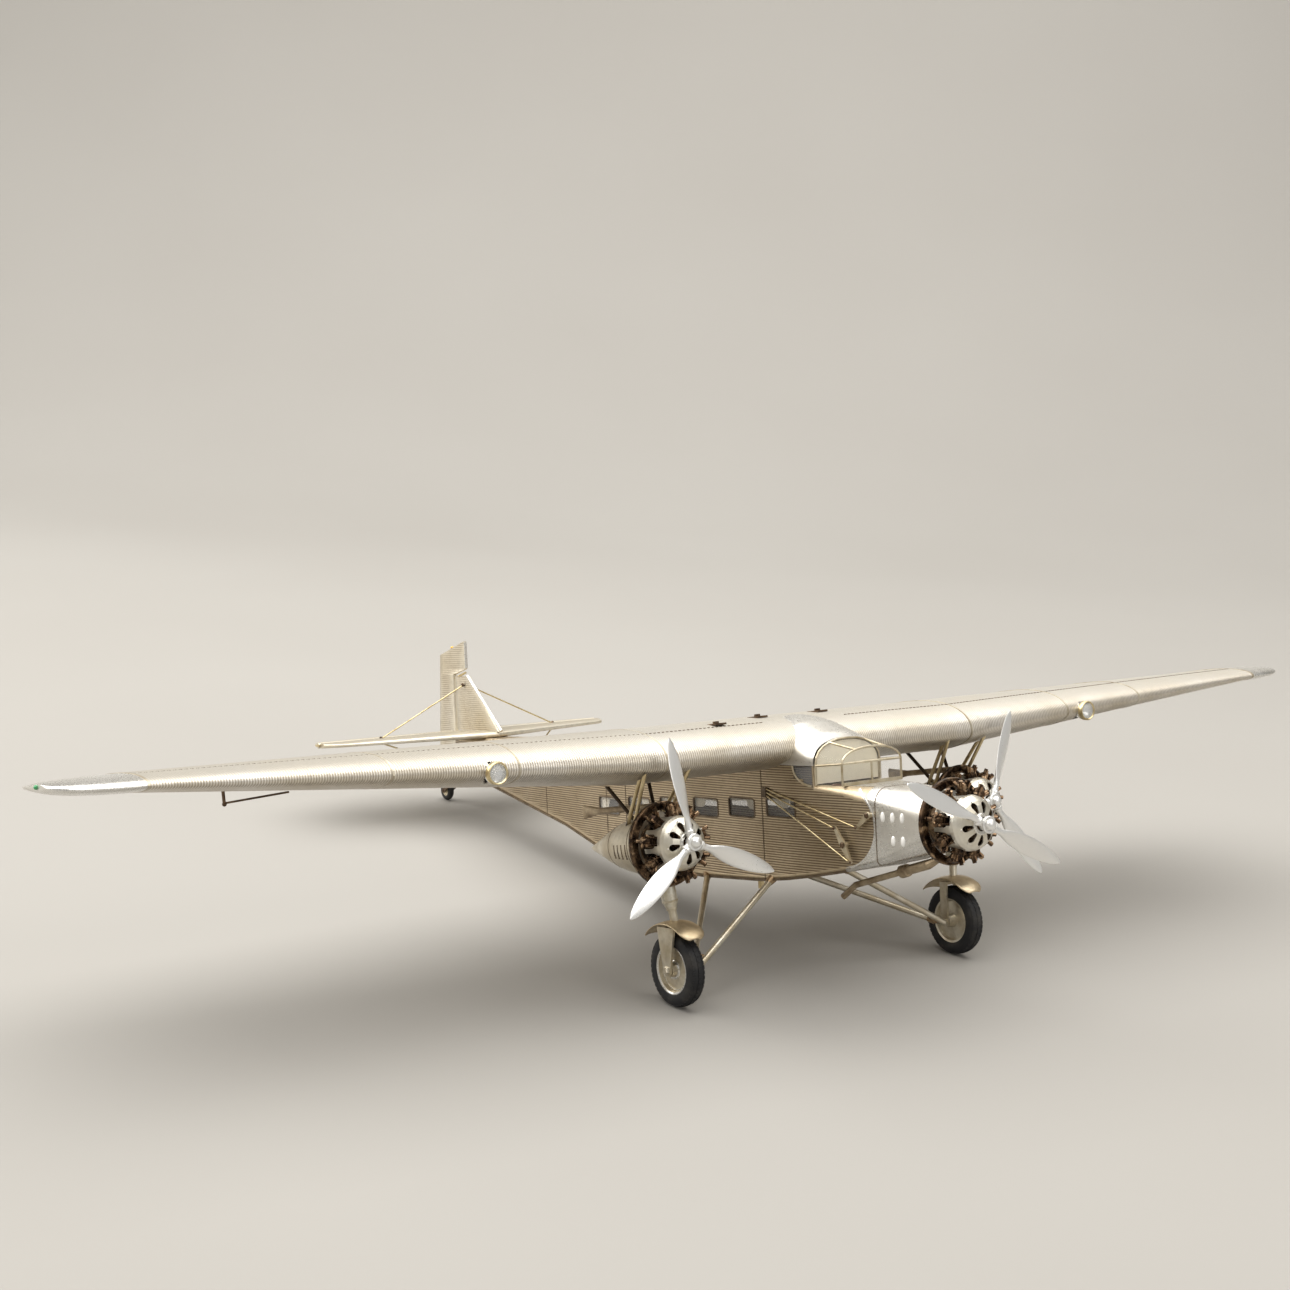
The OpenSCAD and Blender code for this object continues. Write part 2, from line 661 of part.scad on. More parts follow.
// Cabin floor, cockpit floor and the bulkhead between them
floor_end = 290; // station where the cabin's floor ends
floor_z = -22;
cockpit_floor = 38; // length of the cockpit's floor
cockpit_floor_z = -8;
module cabin_floor() color(champagne) intersection() {
    sheet = 1;
    body_solid(body_skin);
    union() {
        translate([-floor_end, -40, floor_z]) cube([floor_end - hoop_station, 80, sheet]);
        translate([-hoop_station, -40, cockpit_floor_z]) cube([cockpit_floor, 80, sheet]);
        translate([-hoop_station - sheet, -40, -60]) cube([sheet, 80, 60 + sill_height - 2.4]);
    }
}

seat_y = 3.5; // from the centre line to a seat's inner side
seat_w = 10;
seat_l = 9; // length of the box under a seat
seat_z = -1; // height of the box's top
module pilot_seats() color([0.30, 0.18, 0.12]) both_sides() translate([-hoop_station + 0.6, seat_y, 0]) {
    base_z = cockpit_floor_z + 1;
    translate([0, 0, base_z]) cube([seat_l, seat_w, seat_z - base_z]);
    translate([0, 0, seat_z]) cube([1.6, seat_w, 15]);
    translate([1.6, 0, seat_z]) cube([seat_l - 1.2, seat_w, 2]);
}

// A panel with four dials, and a control column with its wheel for each pilot
dial_y = [-9, -3, 3, 9];
column_y = seat_y + seat_w / 2;
wheel_place = at(screen_station + 6.2, column_y, 9);
hand_wheel_r = 2.6;
module instrument_panel() color(black) {
    intersection() {
        body_solid(body_skin);
        translate([-screen_station + 4, -40, 3]) cube([1.2, 80, 9]);
    }
    for (y = dial_y) rod(at(screen_station - 4, y, 8), at(screen_station - 3.3, y, 8), 2);
    both_sides() {
        rod(at(screen_station + 2, column_y, cockpit_floor_z + 1.2), wheel_place - [-0.2, 0, 1], 0.5);
        translate(wheel_place) rotate([0, -75, 0])
            rotate_extrude($fn = 32) translate([hand_wheel_r, 0]) circle(r = 0.4, $fn = 16);
        rod(wheel_place - [0, hand_wheel_r, 0], wheel_place + [0, hand_wheel_r, 0], 0.35);
    }
}

drain_station = 142.6;
drain_y = -14;
drain_len = 5.2;
module drain_pipe() color(brass) difference() {
    low = belly_z(drain_station) - drain_len;
    translate(at(drain_station, drain_y, low)) cylinder(h = drain_len + 0.8, r = 1.6, $fn = 24);
    translate(at(drain_station, drain_y, low - 1)) cylinder(h = drain_len - 1, r = 1, $fn = 24);
    body_solid();
}

// Tail

tailplane_half = 1.7;
tailplane_z = deck_height + tailplane_half;
rudder_nose = 1.5;
fin_half = 1.2;
fin_foot_z = deck_height + 2 * tailplane_half + 0.05;
fin_rear = rudder_station - rudder_nose - 0.4 - fin_half;
fin_slope = 3.8; // how far the fin's top drops towards the rudder
fin_tip_station = rudder_station - 15.5; // station of the front of the fin's top
module fin() color(champagne) difference() {
    hull() {
        rod(at(tailplane_station - 2, 0, fin_foot_z - 2), at(fin_tip_station, 0, fin_top), 0.8, 0.6);
        rod(at(fin_rear, 0, fin_foot_z - 2), at(fin_rear, 0, fin_top - fin_slope), fin_half);
    }
    translate(at(far / 2 + tailplane_station, -5, fin_foot_z - 10)) cube([far, 10, 10]);
}

rudder_foot = 9.2;
nose_drop = 5.5; // how far the rudder's nose ends under its highest point
horn_front = fin_tip_station + 0.6; // station of the front of the rudder's horn
post_r = 0.6;
post_top = fin_top - fin_slope + 1.4;
horn_gap = 2.6; // gap between the fin's sloping top and the rudder's horn
module rudder() color(champagne) difference() {
    union() {
        hull() {
            rod(
                at(rudder_station, 0, rudder_foot),
                at(rudder_station, 0, rudder_top - nose_drop), rudder_nose
            );
            rod(at(rudder_end - 0.4, 0, rudder_foot + 0.4), at(rudder_tip_station, 0, rudder_tip_z), 0.4);
        }
        hull() {
            rod(at(horn_front, 0, fin_top + horn_gap), at(horn_front, 0, rudder_top - 0.6), 0.7);
            rod(
                at(rudder_station, 0, fin_top - fin_slope + horn_gap),
                at(rudder_station, 0, rudder_top - nose_drop), rudder_nose
            );
            rod(at(rudder_tip_station, 0, rudder_tip_z - 6), at(rudder_tip_station, 0, rudder_tip_z), 0.4);
        }
    }
    rod(
        at(rudder_station, 0, rudder_foot - 5),
        at(rudder_station, 0, post_top + pin_gap), post_r + running_gap
    );
    translate(at(rudder_station + 1.9, -5, post_top - 2.4)) cube([30, 10, 2.8]);
}

module rudder_post() color(brass) {
    rod(at(rudder_station, 0, rudder_foot - 1.8), at(rudder_station, 0, post_top), post_r);
    translate(at(rudder_station + 0.8, -0.8, rudder_foot - 1.6))
        cube([rudder_station + 0.8 - body_end, 1.6, 1.2]);
    difference() {
        rod(at(fin_tip_station + 1.5, 0, fin_top + 0.4), at(rudder_station, 0, post_top - 0.9), 0.7);
        fin();
    }
}

lamp_station = rudder_station + 0.5;
module tail_lamp() color("orange") translate(at(lamp_station, 0, rudder_top - 4.7)) rotate([0, -16, 0])
    rotate_extrude($fn = 24) polygon(lamp_profile);

elevator_nose = 1.7;
tail_rear = elevator_station - elevator_nose - pin_gap - tailplane_half;
tail_corner = tailplane_station + 27; // station where the tailplane's tip begins to round off
module tailplane() color(silver) difference() {
    both_sides() hull() {
        rod(
            at(tailplane_station, 0, tailplane_z),
            at(tail_corner, tail_half_span - 3, tailplane_z), tailplane_half, 1
        );
        rod(
            at(tail_corner + 6, tail_half_span - 1, tailplane_z),
            at(tail_rear, tail_half_span - 1, tailplane_z), 1
        );
        rod(at(tail_rear, 0, tailplane_z), at(tail_rear, tail_half_span - 1, tailplane_z), tailplane_half);
    }
}

elevator_inner = 7;
tube_r = 1.1;
// A rod across the aircraft along the elevator's hinge, reaching y on both sides
module hinge_line(y, r) rod(at(elevator_station, -y, tailplane_z), at(elevator_station, y, tailplane_z), r);
module elevator() color(silver) difference() {
    union() {
        both_sides() hull() {
            rod(
                at(elevator_station, elevator_inner, tailplane_z),
                at(elevator_station, tail_half_span, tailplane_z), elevator_nose
            );
            rod(
                at(elevator_end, elevator_inner + 6, tailplane_z),
                at(elevator_end - 1, tail_half_span - 9, tailplane_z), te_half
            );
        }
        hinge_line(elevator_inner + 1, tube_r);
    }
    hinge_line(tail_half_span + 5, hinge_wire_r + running_gap);
}

module hinge_wires() color(brass) {
    end = tail_half_span + 1.2;
    both_sides() rod(hinge_at(bay_in), hinge_at(bay_out), hinge_wire_r);
    hinge_line(end, hinge_wire_r);
    both_sides() translate([-elevator_station - hinge_wire_r, end - 0.8, tailplane_z - hinge_wire_r])
        cube([elevator_station - tail_rear + hinge_wire_r, 0.8, 2 * hinge_wire_r]);
}

brace_r = 0.45;
brace_half = 60; // distance from the centre line to the braces' places on the tailplane
brace_top = at(rudder_station - 12.5, fin_half - 0.1, fin_top - 7);
brace_foot = at(elevator_station - 9, brace_half, tailplane_z);
brace_low_station = tailplane_station - 3;
brace_low_z = 2;
brace_sink = 1.35; // how far from the tailplane's middle the braces end
horn_station = elevator_station - 1; // station of the rudder's control horn
horn_wire_station = horn_station - 31;
horn_z = 23.4;
module tail_braces() color(brass) both_sides() difference() {
    horn_y = half_width(horn_station);
    union() {
        rod(brace_top, brace_foot + [0, 0, brace_sink], brace_r);
        rod(brace_foot - [0, 0, brace_sink],
            at(brace_low_station, half_width(brace_low_station) - 1, brace_low_z),
            brace_r);
        rod(at(horn_station, horn_y + 1.1, horn_z),
            at(horn_wire_station, half_width(horn_wire_station) - 1, horn_z - 3), 0.3);
        rod(at(horn_station, horn_y - 0.5, horn_z), at(horn_station, horn_y + 1.5, horn_z), 0.6);
    }
    body_solid();
    tailplane();
}

tail_swivel_station = 446.8;
tail_pin_r = 1.2;
tail_pin_top = 14; // height of the swivel pin's upper end
tail_axle_r = 0.6;
fork_crown = 3.4; // height of the fork's crown
fork_in = 2.4; // half of the gap between the fork's arms
fork_t = 0.9; // thickness of an arm
fork_l = 4; // length of the crown
fork_h = 1.4; // thickness of the crown
module tail_fork() color(bronze) {
    translate(at(tail_swivel_station, 0, fork_crown))
        cylinder(h = tail_pin_top - fork_crown, r = tail_pin_r, $fn = 24);
    translate([-tail_swivel_station - fork_l / 2, -fork_in - fork_t, fork_crown - fork_h])
        cube([fork_l, 2 * (fork_in + fork_t), fork_h]);
    both_sides() hull() {
        translate([-tail_swivel_station - fork_l / 2, fork_in, fork_crown - fork_h])
            cube([fork_l, fork_t, fork_h]);
        translate(at(tail_axle_station, fork_in, -tail_axle_depth)) rotate([-90, 0, 0])
            cylinder(h = fork_t, r = 1.3, $fn = 24);
    }
    translate(at(tail_axle_station, 0, -tail_axle_depth)) rotate([90, 0, 0])
        cylinder(h = 2 * (fork_in + fork_t) + 0.8, r = tail_axle_r, center = true, $fn = 24);
}

module tail_wheel() color(silver) translate(at(tail_axle_station, 0, -tail_axle_depth)) rotate([90, 0, 0])
    rotate_extrude($fn = 64) polygon([
        [tail_axle_r + running_gap, -1.9], [1.4, -1.9], [1.5, -0.6], [2.8, -0.6], [3.1, -1.5], [3.4, -1.5],
        [3.4, 1.5], [3.1, 1.5], [2.8, 0.6], [1.5, 0.6], [1.4, 1.9], [tail_axle_r + running_gap, 1.9]
    ]);

module tail_tyre() color(black) translate(at(tail_axle_station, 0, -tail_axle_depth)) rotate([90, 0, 0])
    rotate_extrude($fn = 64) difference() {
        translate([tail_tyre_r - 1.9, 0]) circle(r = 1.9, $fn = 32);
        translate([0, -5]) square([3.4, 10]);
    }

// Engines. Each is drawn with its propeller's hub at the origin.

cylinder_x = -14; // distance from the hub to the cylinders' row
case_front = -4.5;
case_back = -20;
cylinder_r = 2.9; // over the cooling fins
barrel_r = 2.35;

function engine_place(side) = side == 0
    ? [0, 0, 0]
    : at(engine_station, side * engine_offset, -engine_drop);
module at_engine(side)
    translate(engine_place(side)) rotate([0, side == 0 ? 0 : -engine_tilt, 0]) children();

case_r = 6.4;
flange_r = nacelle_r - 3.2;
nose_front = 24; // distance from a hub back to the front of the nose or nacelle
stub_r = 17.5; // radius at which the exhaust stubs reach the collector ring
stub_bend = -4.6; // where a stub bends, behind the cylinder's middle
fin_first = 8.3; // radius of the lowest cooling fin
fin_pitch = 1.35;
cooling_fin = 0.6; // thickness of a fin
// One cylinder along +Z: barrel, five fins, head, two rocker boxes with their push rods, exhaust stub
module engine_cylinder() {
    head = engine_r - 3.2;
    head_r = cylinder_r - 0.2;
    crown = engine_r - 0.3;
    rotate_extrude($fn = 32) polygon(concat(
        [[0, 5], [barrel_r, 5]],
        [for (i = [0 : 4]) let (z = fin_first + fin_pitch * i) each [
            [barrel_r, z], [cylinder_r, z], [cylinder_r, z + cooling_fin], [barrel_r, z + cooling_fin]
        ]],
        [[barrel_r, head], [head_r, head], [head_r, head + 1.6], [1.4, crown], [0, crown]]
    ));
    for (side = [-1, 1]) {
        translate([1.2, side * 1.7, head + 0.4]) rotate([side * -14, 14, 0])
            cylinder(h = 3.4, r = 0.95, $fn = 16);
        rod([3.6, side * 0.8, 6], [2.4, side * 1.7, head + 1], 0.32);
    }
    rod([-1, 0, head - 0.6], [stub_bend, 0, stub_r], 1);
    rod([stub_bend, 0, stub_r], [ring_front - cylinder_x, 0, stub_r], 1);
}
module cylinder_row() color(bronze) difference() {
    for (i = [0 : cylinder_count - 1])
        translate([cylinder_x, 0, 0]) rotate([360 / cylinder_count * i, 0, 0]) engine_cylinder();
    rotate([0, 90, 0]) cylinder(h = 60, r = case_r, center = true, $fn = 48);
}

module crankcase() {
    rotate([0, 90, 0]) {
        translate([0, 0, case_back]) cylinder(h = case_front - case_back - 2.6, r = case_r, $fn = 48);
        translate([0, 0, case_front - 2.8]) cylinder(h = 2.8, r1 = 5, r2 = 2.4, $fn = 48);
        translate([0, 0, -nose_front]) cylinder(h = nose_front + case_back + 0.2, r = flange_r, $fn = 48);
        translate([0, 0, -9.4]) cylinder(h = 0.6, r = cowl_r - cowl_skin - 0.35, $fn = 72);
    }
    rod([case_front - 1, 0, 0], [3, 0, 0], shaft_r);
}
module crankcases() color(bronze) for (side = [-1, 0, 1]) at_engine(side) crankcase();

cowl_skin = 0.6;
cowl_front_r = 3.9;
// A hole that widens outwards: its two end circles as [distance from the hub's line, radius]
hole_in = [5.6, 0.7];
hole_out = [8.4, 1.5];
hole_side = acos((hole_in[1] - hole_out[1]) / (hole_out[0] - hole_in[0])); // slope of its sides
function hole_corner(c, sign) = [c[0], 0] + (c[1] - 0.01) * [cos(hole_side), sign * sin(hole_side)];
module teardrop() {
    for (c = [hole_in, hole_out]) translate([c[0], 0]) circle(r = c[1], $fn = 24);
    polygon([
        hole_corner(hole_in, 1), hole_corner(hole_out, 1), hole_corner(hole_out, -1), hole_corner(hole_in, -1)
    ]);
}
cowl_front = -2.4;
cowl_shoulder = -9.8; // where the dome meets the drum
cowl_back = -19.8;
module cowl_profile(r) polygon(concat(
    [[0, cowl_front], [cowl_front_r, cowl_front]],
    [for (a = [75 : -15 : 0]) [
        cowl_front_r + (r - cowl_front_r) * cos(a),
        cowl_shoulder + (cowl_front - cowl_shoulder - 0.1) * sin(a)
    ]],
    [[r, cowl_back], [0, cowl_back]]
));
// A thin dome with a centre hole, a slot for each cylinder and a teardrop hole between each two
module cowl() color(silver) difference() {
    slot_r = cylinder_r + 0.35;
    rotate([0, 90, 0]) rotate_extrude($fn = 72) difference() {
        cowl_profile(cowl_r);
        translate([0, -cowl_skin]) cowl_profile(cowl_r - cowl_skin);
        translate([0, -30]) square([cowl_front_r - 0.6, 60]);
        translate([0, -30]) square([cowl_r - cowl_skin, 10.3]);
    }
    for (i = [0 : cylinder_count - 1]) rotate([360 / cylinder_count * i, 0, 0]) {
        translate([cylinder_x, 0, 5]) cylinder(h = 20, r = slot_r, $fn = 32);
        translate([cylinder_x - 20, -slot_r, 5]) cube([20, 2 * slot_r, 20]);
        translate([cylinder_x, -2.2, 5]) cube([4.4, 4.4, 20]);
        rotate([180 / cylinder_count, 0, 0]) rotate([0, 90, 0])
            translate([0, 0, -12]) linear_extrude(height = 14) rotate(180) teardrop();
    }
}

ring_front = -20.1;
ring_back = -22.9;
module collector_rings() color(bronze) for (side = [-1, 0, 1]) at_engine(side) rotate([0, 90, 0])
    rotate_extrude($fn = 72) polygon([
        [nacelle_r + 0.6, ring_back], [collector_r - 1, ring_back], [collector_r, ring_back + 0.9],
        [collector_r, ring_front - 0.7], [collector_r - 0.9, ring_front], [nacelle_r + 0.6, ring_front]
    ]);

// Propeller blade along +Y, as [share of the radius, width, thickness]
blade_shape = [
    [0.12, 0.36, 0.36], [0.2, 0.37, 0.34], [0.28, 0.6, 0.24], [0.4, 0.88, 0.18], [0.55, 1, 0.14],
    [0.72, 0.92, 0.11], [0.86, 0.68, 0.09], [0.95, 0.4, 0.07], [1, 0.1, 0.05]
];
twist_hub = 32; // a blade's angle at the hub
twist_tip = 6; // and at its tip
module blade(radius) loft([for (b = blade_shape) let (twist = mix(twist_hub, twist_tip, b[0]))
    [for (k = [0 : 11]) let (
            u = blade_width / 2 * b[1] * cos(30 * k),
            v = blade_width / 2 * b[2] * sin(30 * k))
        [u * sin(twist) - v * cos(twist), radius * b[0], u * cos(twist) + v * sin(twist)]]]);

hub_r = 2.7;
lock_ring_r = 3.9; // radius of the ring round a propeller's nut
nut_r = 2.5;
module propeller(radius, blades, start) color(polished) difference() {
    union() {
        rod([-2, 0, 0], [2.4, 0, 0], hub_r);
        rod([1.4, 0, 0], [2.6, 0, 0], lock_ring_r);
        rod([2.6, 0, 0], [4, 0, 0], nut_r);
        rod([4, 0, 0], [nut_front, 0, 0], nut_r, 1.2);
        for (i = [0 : blades - 1]) rotate([start + 360 / blades * i, 0, 0]) {
            rod([0, 0, 0], [0, 6.4, 0], 1.9);
            rod([0, 4.4, 0], [0, 5.4, 0], 2.3);
            blade(radius);
        }
    }
    rod([-3, 0, 0], [3 + pin_gap - 0.2, 0, 0], shaft_r + running_gap);
}

// Outline of a nacelle as [distance aft of the hub, radius]
nacelle_tail = nacelle_end - engine_station;
nacelle_outline = [
    [nose_front, nacelle_r], [30, nacelle_r - 0.4], [40, nacelle_r - 1.8], [50, nacelle_r - 4],
    [60, nacelle_r - 7], [70, nacelle_r - 10.6], [nacelle_tail - 3, 1.4], [nacelle_tail, 0.3],
];
module nacelle_body() rotate([0, -90, 0]) rotate_extrude($fn = 64)
    polygon(concat([[0, nose_front]], [for (p = nacelle_outline) [p[1], p[0]]], [[0, nacelle_tail]]));
slot_first = 36; // first cooling slot, aft of the hub
slot_pitch = 4.5;
slot_size = [0.9, 5, 7];
module nacelle(side) color(silver) at_engine(side) difference() {
    nacelle_body();
    for (face = [-1, 1], i = [0 : 2])
        translate([-slot_first - slot_pitch * i, face * nacelle_r, -1]) cube(slot_size, center = true);
}

// Struts from each nacelle to the wing above it: a pair that meets in front and one behind, on
// each face. The first point is relative to the engine's hub, the second is [station, height].
strut_r = 0.9;
apex_out = 12.5; // how far to each side of the engine the struts meet the wing
mount_struts = [
    [[-31, 9, 9.5], [106.8, 27.5]],
    [[-38, 8.5, 8.5], [109.6, 27]],
    [[-34, 6, 11.5], [140, 21.2]],
];
// A point of a wing engine, relative to its hub, after the engine's tilt
function tilted(p) = [
    p.x * cos(engine_tilt) - p.z * sin(engine_tilt), p.y, p.x * sin(engine_tilt) + p.z * cos(engine_tilt)
];
module engine_mounts() color(brass) for (side = [-1, 1], face = [-1, 1]) {
    hub = engine_place(side);
    difference() {
        union() for (s = mount_struts) rod(
            hub + tilted([s[0].x, face * s[0].y, s[0].z]),
            at(s[1][0], hub.y + face * apex_out, s[1][1]), strut_r
        );
        at_engine(side) nacelle_body();
        root_prism(0.02, far);
    }
}

pipe_r = 1.5;
muffler_in = 2.3; // radius of the nose pipe ahead of its muffler
muffler_r = 3;
// The pipes as [distance aft, y, z, half width, half height]: a wing engine's one runs back along
// its nacelle to a flat fishtail and is measured from the hub, and the nose engine's goes through
// a muffler to the belly
wing_pipe = [
    [-ring_back, 4, 17.5, pipe_r, pipe_r], [64.5, 4, 17.5, pipe_r, pipe_r],
    [77, 4, 17.5, 1, 3.2], [78.4, 4, 17.5, 1, 3.4],
];
nose_pipe = [
    [-ring_back, -5, -16.8, pipe_r, pipe_r], [24.2, -5, -16.8, pipe_r, pipe_r],
    [26, -5.2, -17.2, pipe_r, pipe_r], [31, -6, -19.4, muffler_in, muffler_in],
    [43.6, -6.9, -22.9, muffler_in, muffler_in], [44, -6.9, -23, muffler_r, muffler_r],
    [48, -7.2, -24.1, muffler_r, muffler_r], [48.4, -7.2, -24.2, pipe_r, pipe_r],
    [77, -10, -32.3, pipe_r, pipe_r], [85, -11, -38.4, pipe_r, pipe_r],
];
// A closed tube through the points of a path
module pipe(path) {
    last = len(path) - 1;
    points = [for (p = path) at(p[0], p[1], p[2])];
    loft([for (i = [0 : last]) let (
            d = points[min(i + 1, last)] - points[max(i - 1, 0)],
            down = cross(d, [0, 1, 0]) / norm(cross(d, [0, 1, 0])),
            out = cross(down, d) / norm(d))
        [for (k = [0 : 11]) points[i] + path[i][4] * cos(30 * k) * down + path[i][3] * sin(30 * k) * out]]);
}
module exhaust_pipes() color([0.42, 0.34, 0.24]) {
    both_sides() at_engine(1) pipe(wing_pipe);
    pipe(nose_pipe);
}

// Landing gear, drawn for the left side

crown_gap = 1.2; // gap between a tyre and the crown of its fork
crown_h = 1.3;
crown_z = tyre_r + crown_gap - axle_depth;
leg_top = at(axle_station + 3.3, gear_half + 3.6, -engine_drop - nacelle_r + 2);
leg_foot = at(axle_station, gear_half, crown_z + crown_h);
sleeve_end = 7.8; // length of rod between the sleeve and the fork's crown
cone_h = 3.6;
sleeve_r = 3.7;
leg_rod_r = 1.9;
plate_y = gear_half + tyre_w / 2 + 1.6;
axle_in = gear_half - tyre_w / 2 - 2.4;
leg_dir = (leg_top - leg_foot) / norm(leg_top - leg_foot);

module shock_sleeves() color(silver) both_sides() difference() {
    union() {
        rod(leg_foot + leg_dir * (sleeve_end + cone_h), leg_top, sleeve_r);
        rod(
            leg_foot + leg_dir * sleeve_end,
            leg_foot + leg_dir * (sleeve_end + cone_h), leg_rod_r + 0.4, sleeve_r
        );
    }
    at_engine(1) nacelle_body();
}

// A round rod along a main axle, from one distance off the centre line to another
module axle_rod(y_in, y_out, r)
    rod(at(axle_station, y_in, -axle_depth), at(axle_station, y_out, -axle_depth), r);
// A plate from the crown down to the axle, between two distances off the centre line
module fork_plate(y_in, y_out, top_l, foot_r) hull() {
    translate([-axle_station - top_l / 2, y_in, crown_z]) cube([top_l, y_out - y_in, crown_h]);
    axle_rod(y_in, y_out, foot_r);
}
// The lower leg: rod, crown under the mudguard, a plate on each side of the wheel, and the axle
outer_top = 12.4; // length of the outer plate's upper edge
inner_top = 4.8; // length of the inner plate's upper edge, and of the crown
axle_past = 20; // how far the hole for an axle is cut past the plates
module lower_legs() color(champagne) both_sides() {
    rod(leg_foot - leg_dir * 0.8, leg_foot + leg_dir * (sleeve_end - 0.05), leg_rod_r);
    translate([-axle_station - inner_top / 2, axle_in - 1, crown_z])
        cube([inner_top, plate_y + 0.6 - axle_in + 1, crown_h]);
    difference() {
        union() {
            fork_plate(plate_y - 0.6, plate_y + 0.6, outer_top, 2.6);
            fork_plate(axle_in - 1, axle_in, inner_top, 2.4);
        }
        axle_rod(axle_in - axle_past, plate_y + axle_past, axle_r - 0.05);
    }
    axle_rod(axle_in - 4, plate_y + 1.2, axle_r);
}

vee_r = 1.5;
vee_front = 124;
vee_rear = 177;
module vee_strut(foot_x, station) difference() {
    rod(
        at(axle_station, axle_in - 3.6, -axle_depth) + [foot_x, 0, 0],
        at(station, half_width(station) - 3, belly_z(station) + 2), vee_r
    );
    body_solid();
    axle_rod(axle_in - axle_past, plate_y + axle_past, axle_r);
}
module vee_struts() color(champagne) both_sides() {
    vee_strut(2.9, vee_front);
    vee_strut(-1.2, vee_rear);
}

// The mudguard lies over the fork's crown: a crowned sheet round a part of the wheel
guard_r = norm([outer_top / 2, tyre_r + crown_gap + crown_h]) + 0.1; // inside, at its edges
guard_w = 14;
guard_t = 0.6;
guard_crown = 0.9; // how much higher its middle is than its edges
guard_start = 45; // angle of its front end over the axle
guard_sweep = 94;
module at_main_wheel() translate(at(axle_station, gear_half, -axle_depth)) rotate([90, 0, 0]) children();
module mudguards() color(tan_metal) both_sides() difference() {
    at_main_wheel() rotate([0, 0, guard_start]) rotate_extrude(angle = guard_sweep, $fn = 96) polygon([
        [guard_r, -guard_w / 2], [guard_r + guard_crown, -guard_w / 5],
        [guard_r + guard_crown, guard_w / 5], [guard_r, guard_w / 2],
        [guard_r + guard_t, guard_w / 2], [guard_r + guard_crown + guard_t, guard_w / 5],
        [guard_r + guard_crown + guard_t, -guard_w / 5], [guard_r + guard_t, -guard_w / 2]
    ]);
    rod(leg_foot - leg_dir * 3, leg_foot + leg_dir * 6, leg_rod_r + 0.05);
}

rim_r = 11.2; // radius where a main tyre sits on its wheel
hub_outer = plate_y - 0.8 - gear_half; // from the wheel's middle to its hub's outer face
hub_inner = gear_half - axle_in - 0.2; // and to the inner one
module main_wheel() color(silver) at_main_wheel() rotate_extrude($fn = 96) polygon([
    [axle_r + running_gap, -hub_outer], [3, -hub_outer], [3.4, -2], [rim_r - 1.6, -1.4],
    [rim_r - 1, -3.3], [rim_r, -3.6], [rim_r, 3.6], [rim_r - 1, 3.3], [rim_r - 1.6, 1.4], [3.4, 2],
    [3, hub_inner], [axle_r + running_gap, hub_inner]
]);

module main_tyre() color(black) at_main_wheel() rotate_extrude($fn = 96) let (w = tyre_w / 2) polygon([
    [rim_r, -3.6], [rim_r + 0.8, 0.1 - w], [rim_r + 2.8, -w], [tyre_r - 1.6, 0.5 - w],
    [tyre_r - 0.5, 1.6 - w], [tyre_r, -1.2], [tyre_r, 1.2], [tyre_r - 0.5, w - 1.6],
    [tyre_r - 1.6, w - 0.5], [rim_r + 2.8, w], [rim_r + 0.8, w - 0.1], [rim_r, 3.6]
]);

// Controls outside the cockpit

crank = at(71.9, 0, -12.1);
crank_arm = 9;
crank_angle = 57; // slope of the long lever, its upper end aft
crank_shaft_r = 1;
lever = at(55.8, 0, 2.4);
lever_arm = 9.2;
lever_angle = 40; // slope of the short lever, its free end aft and low
lever_off = 2.4; // distance from the fuselage's side to the levers
lever_t = 0.9; // thickness of the levers
wire_r = 0.35;
wire_start = 0.022; // share of its way at which a wire begins, clear of the lever's boss
plate_station = 123; // station of the plate where the wires end
plate_off = 1.4;
function on_side(p, off) = p + [0, half_width(-p.x) + off, 0];
function crank_end(up) = on_side(crank, lever_off)
    + up * crank_arm * [-cos(crank_angle), 0, sin(crank_angle)];
lever_end = on_side(lever, lever_off) - lever_arm * [cos(lever_angle), 0, sin(lever_angle)];
function wire_end(z) = on_side(at(plate_station - 0.1, 0, z), plate_off / 2);
// Each wire as [the lever's end where it starts, the height of its end on the plate]
wire_routes = [[crank_end(1), 9.8], [crank_end(-1), 8.2], [lever_end, 11.4]];

module crank_holes() for (p = [crank, lever]) rod(p - [0, 40, 0], p + [0, 40, 0], crank_shaft_r + 0.05);
module lever_boss(p, r) translate(p) rotate([90, 0, 0]) cylinder(h = lever_t, r = r, center = true, $fn = 24);

// The bell cranks share one shaft through the nose; each upper lever has a short one of its own
module control_levers() color(champagne) {
    reach = [0, half_width(-crank.x) + lever_off + 1, 0];
    rod(crank - reach, crank + reach, crank_shaft_r);
    both_sides() {
        rod(on_side(lever, -3), on_side(lever, lever_off + 1), crank_shaft_r);
        for (up = [-1, 1]) hull() {
            lever_boss(on_side(crank, lever_off), 1.9);
            lever_boss(crank_end(up), 0.8);
        }
        hull() {
            lever_boss(on_side(lever, lever_off), 1.6);
            lever_boss(lever_end, 0.8);
        }
    }
}
module control_wires() color(brass) both_sides() for (w = wire_routes)
    rod(mix(w[0], wire_end(w[1]), wire_start) + [0, lever_t, 0], wire_end(w[1]), wire_r);
module wire_plates() color(champagne) both_sides() difference() {
    translate(at(plate_station + 3, half_width(plate_station) - 1, 7.4)) cube([3, 1 + plate_off, 4.8]);
    body_solid();
}

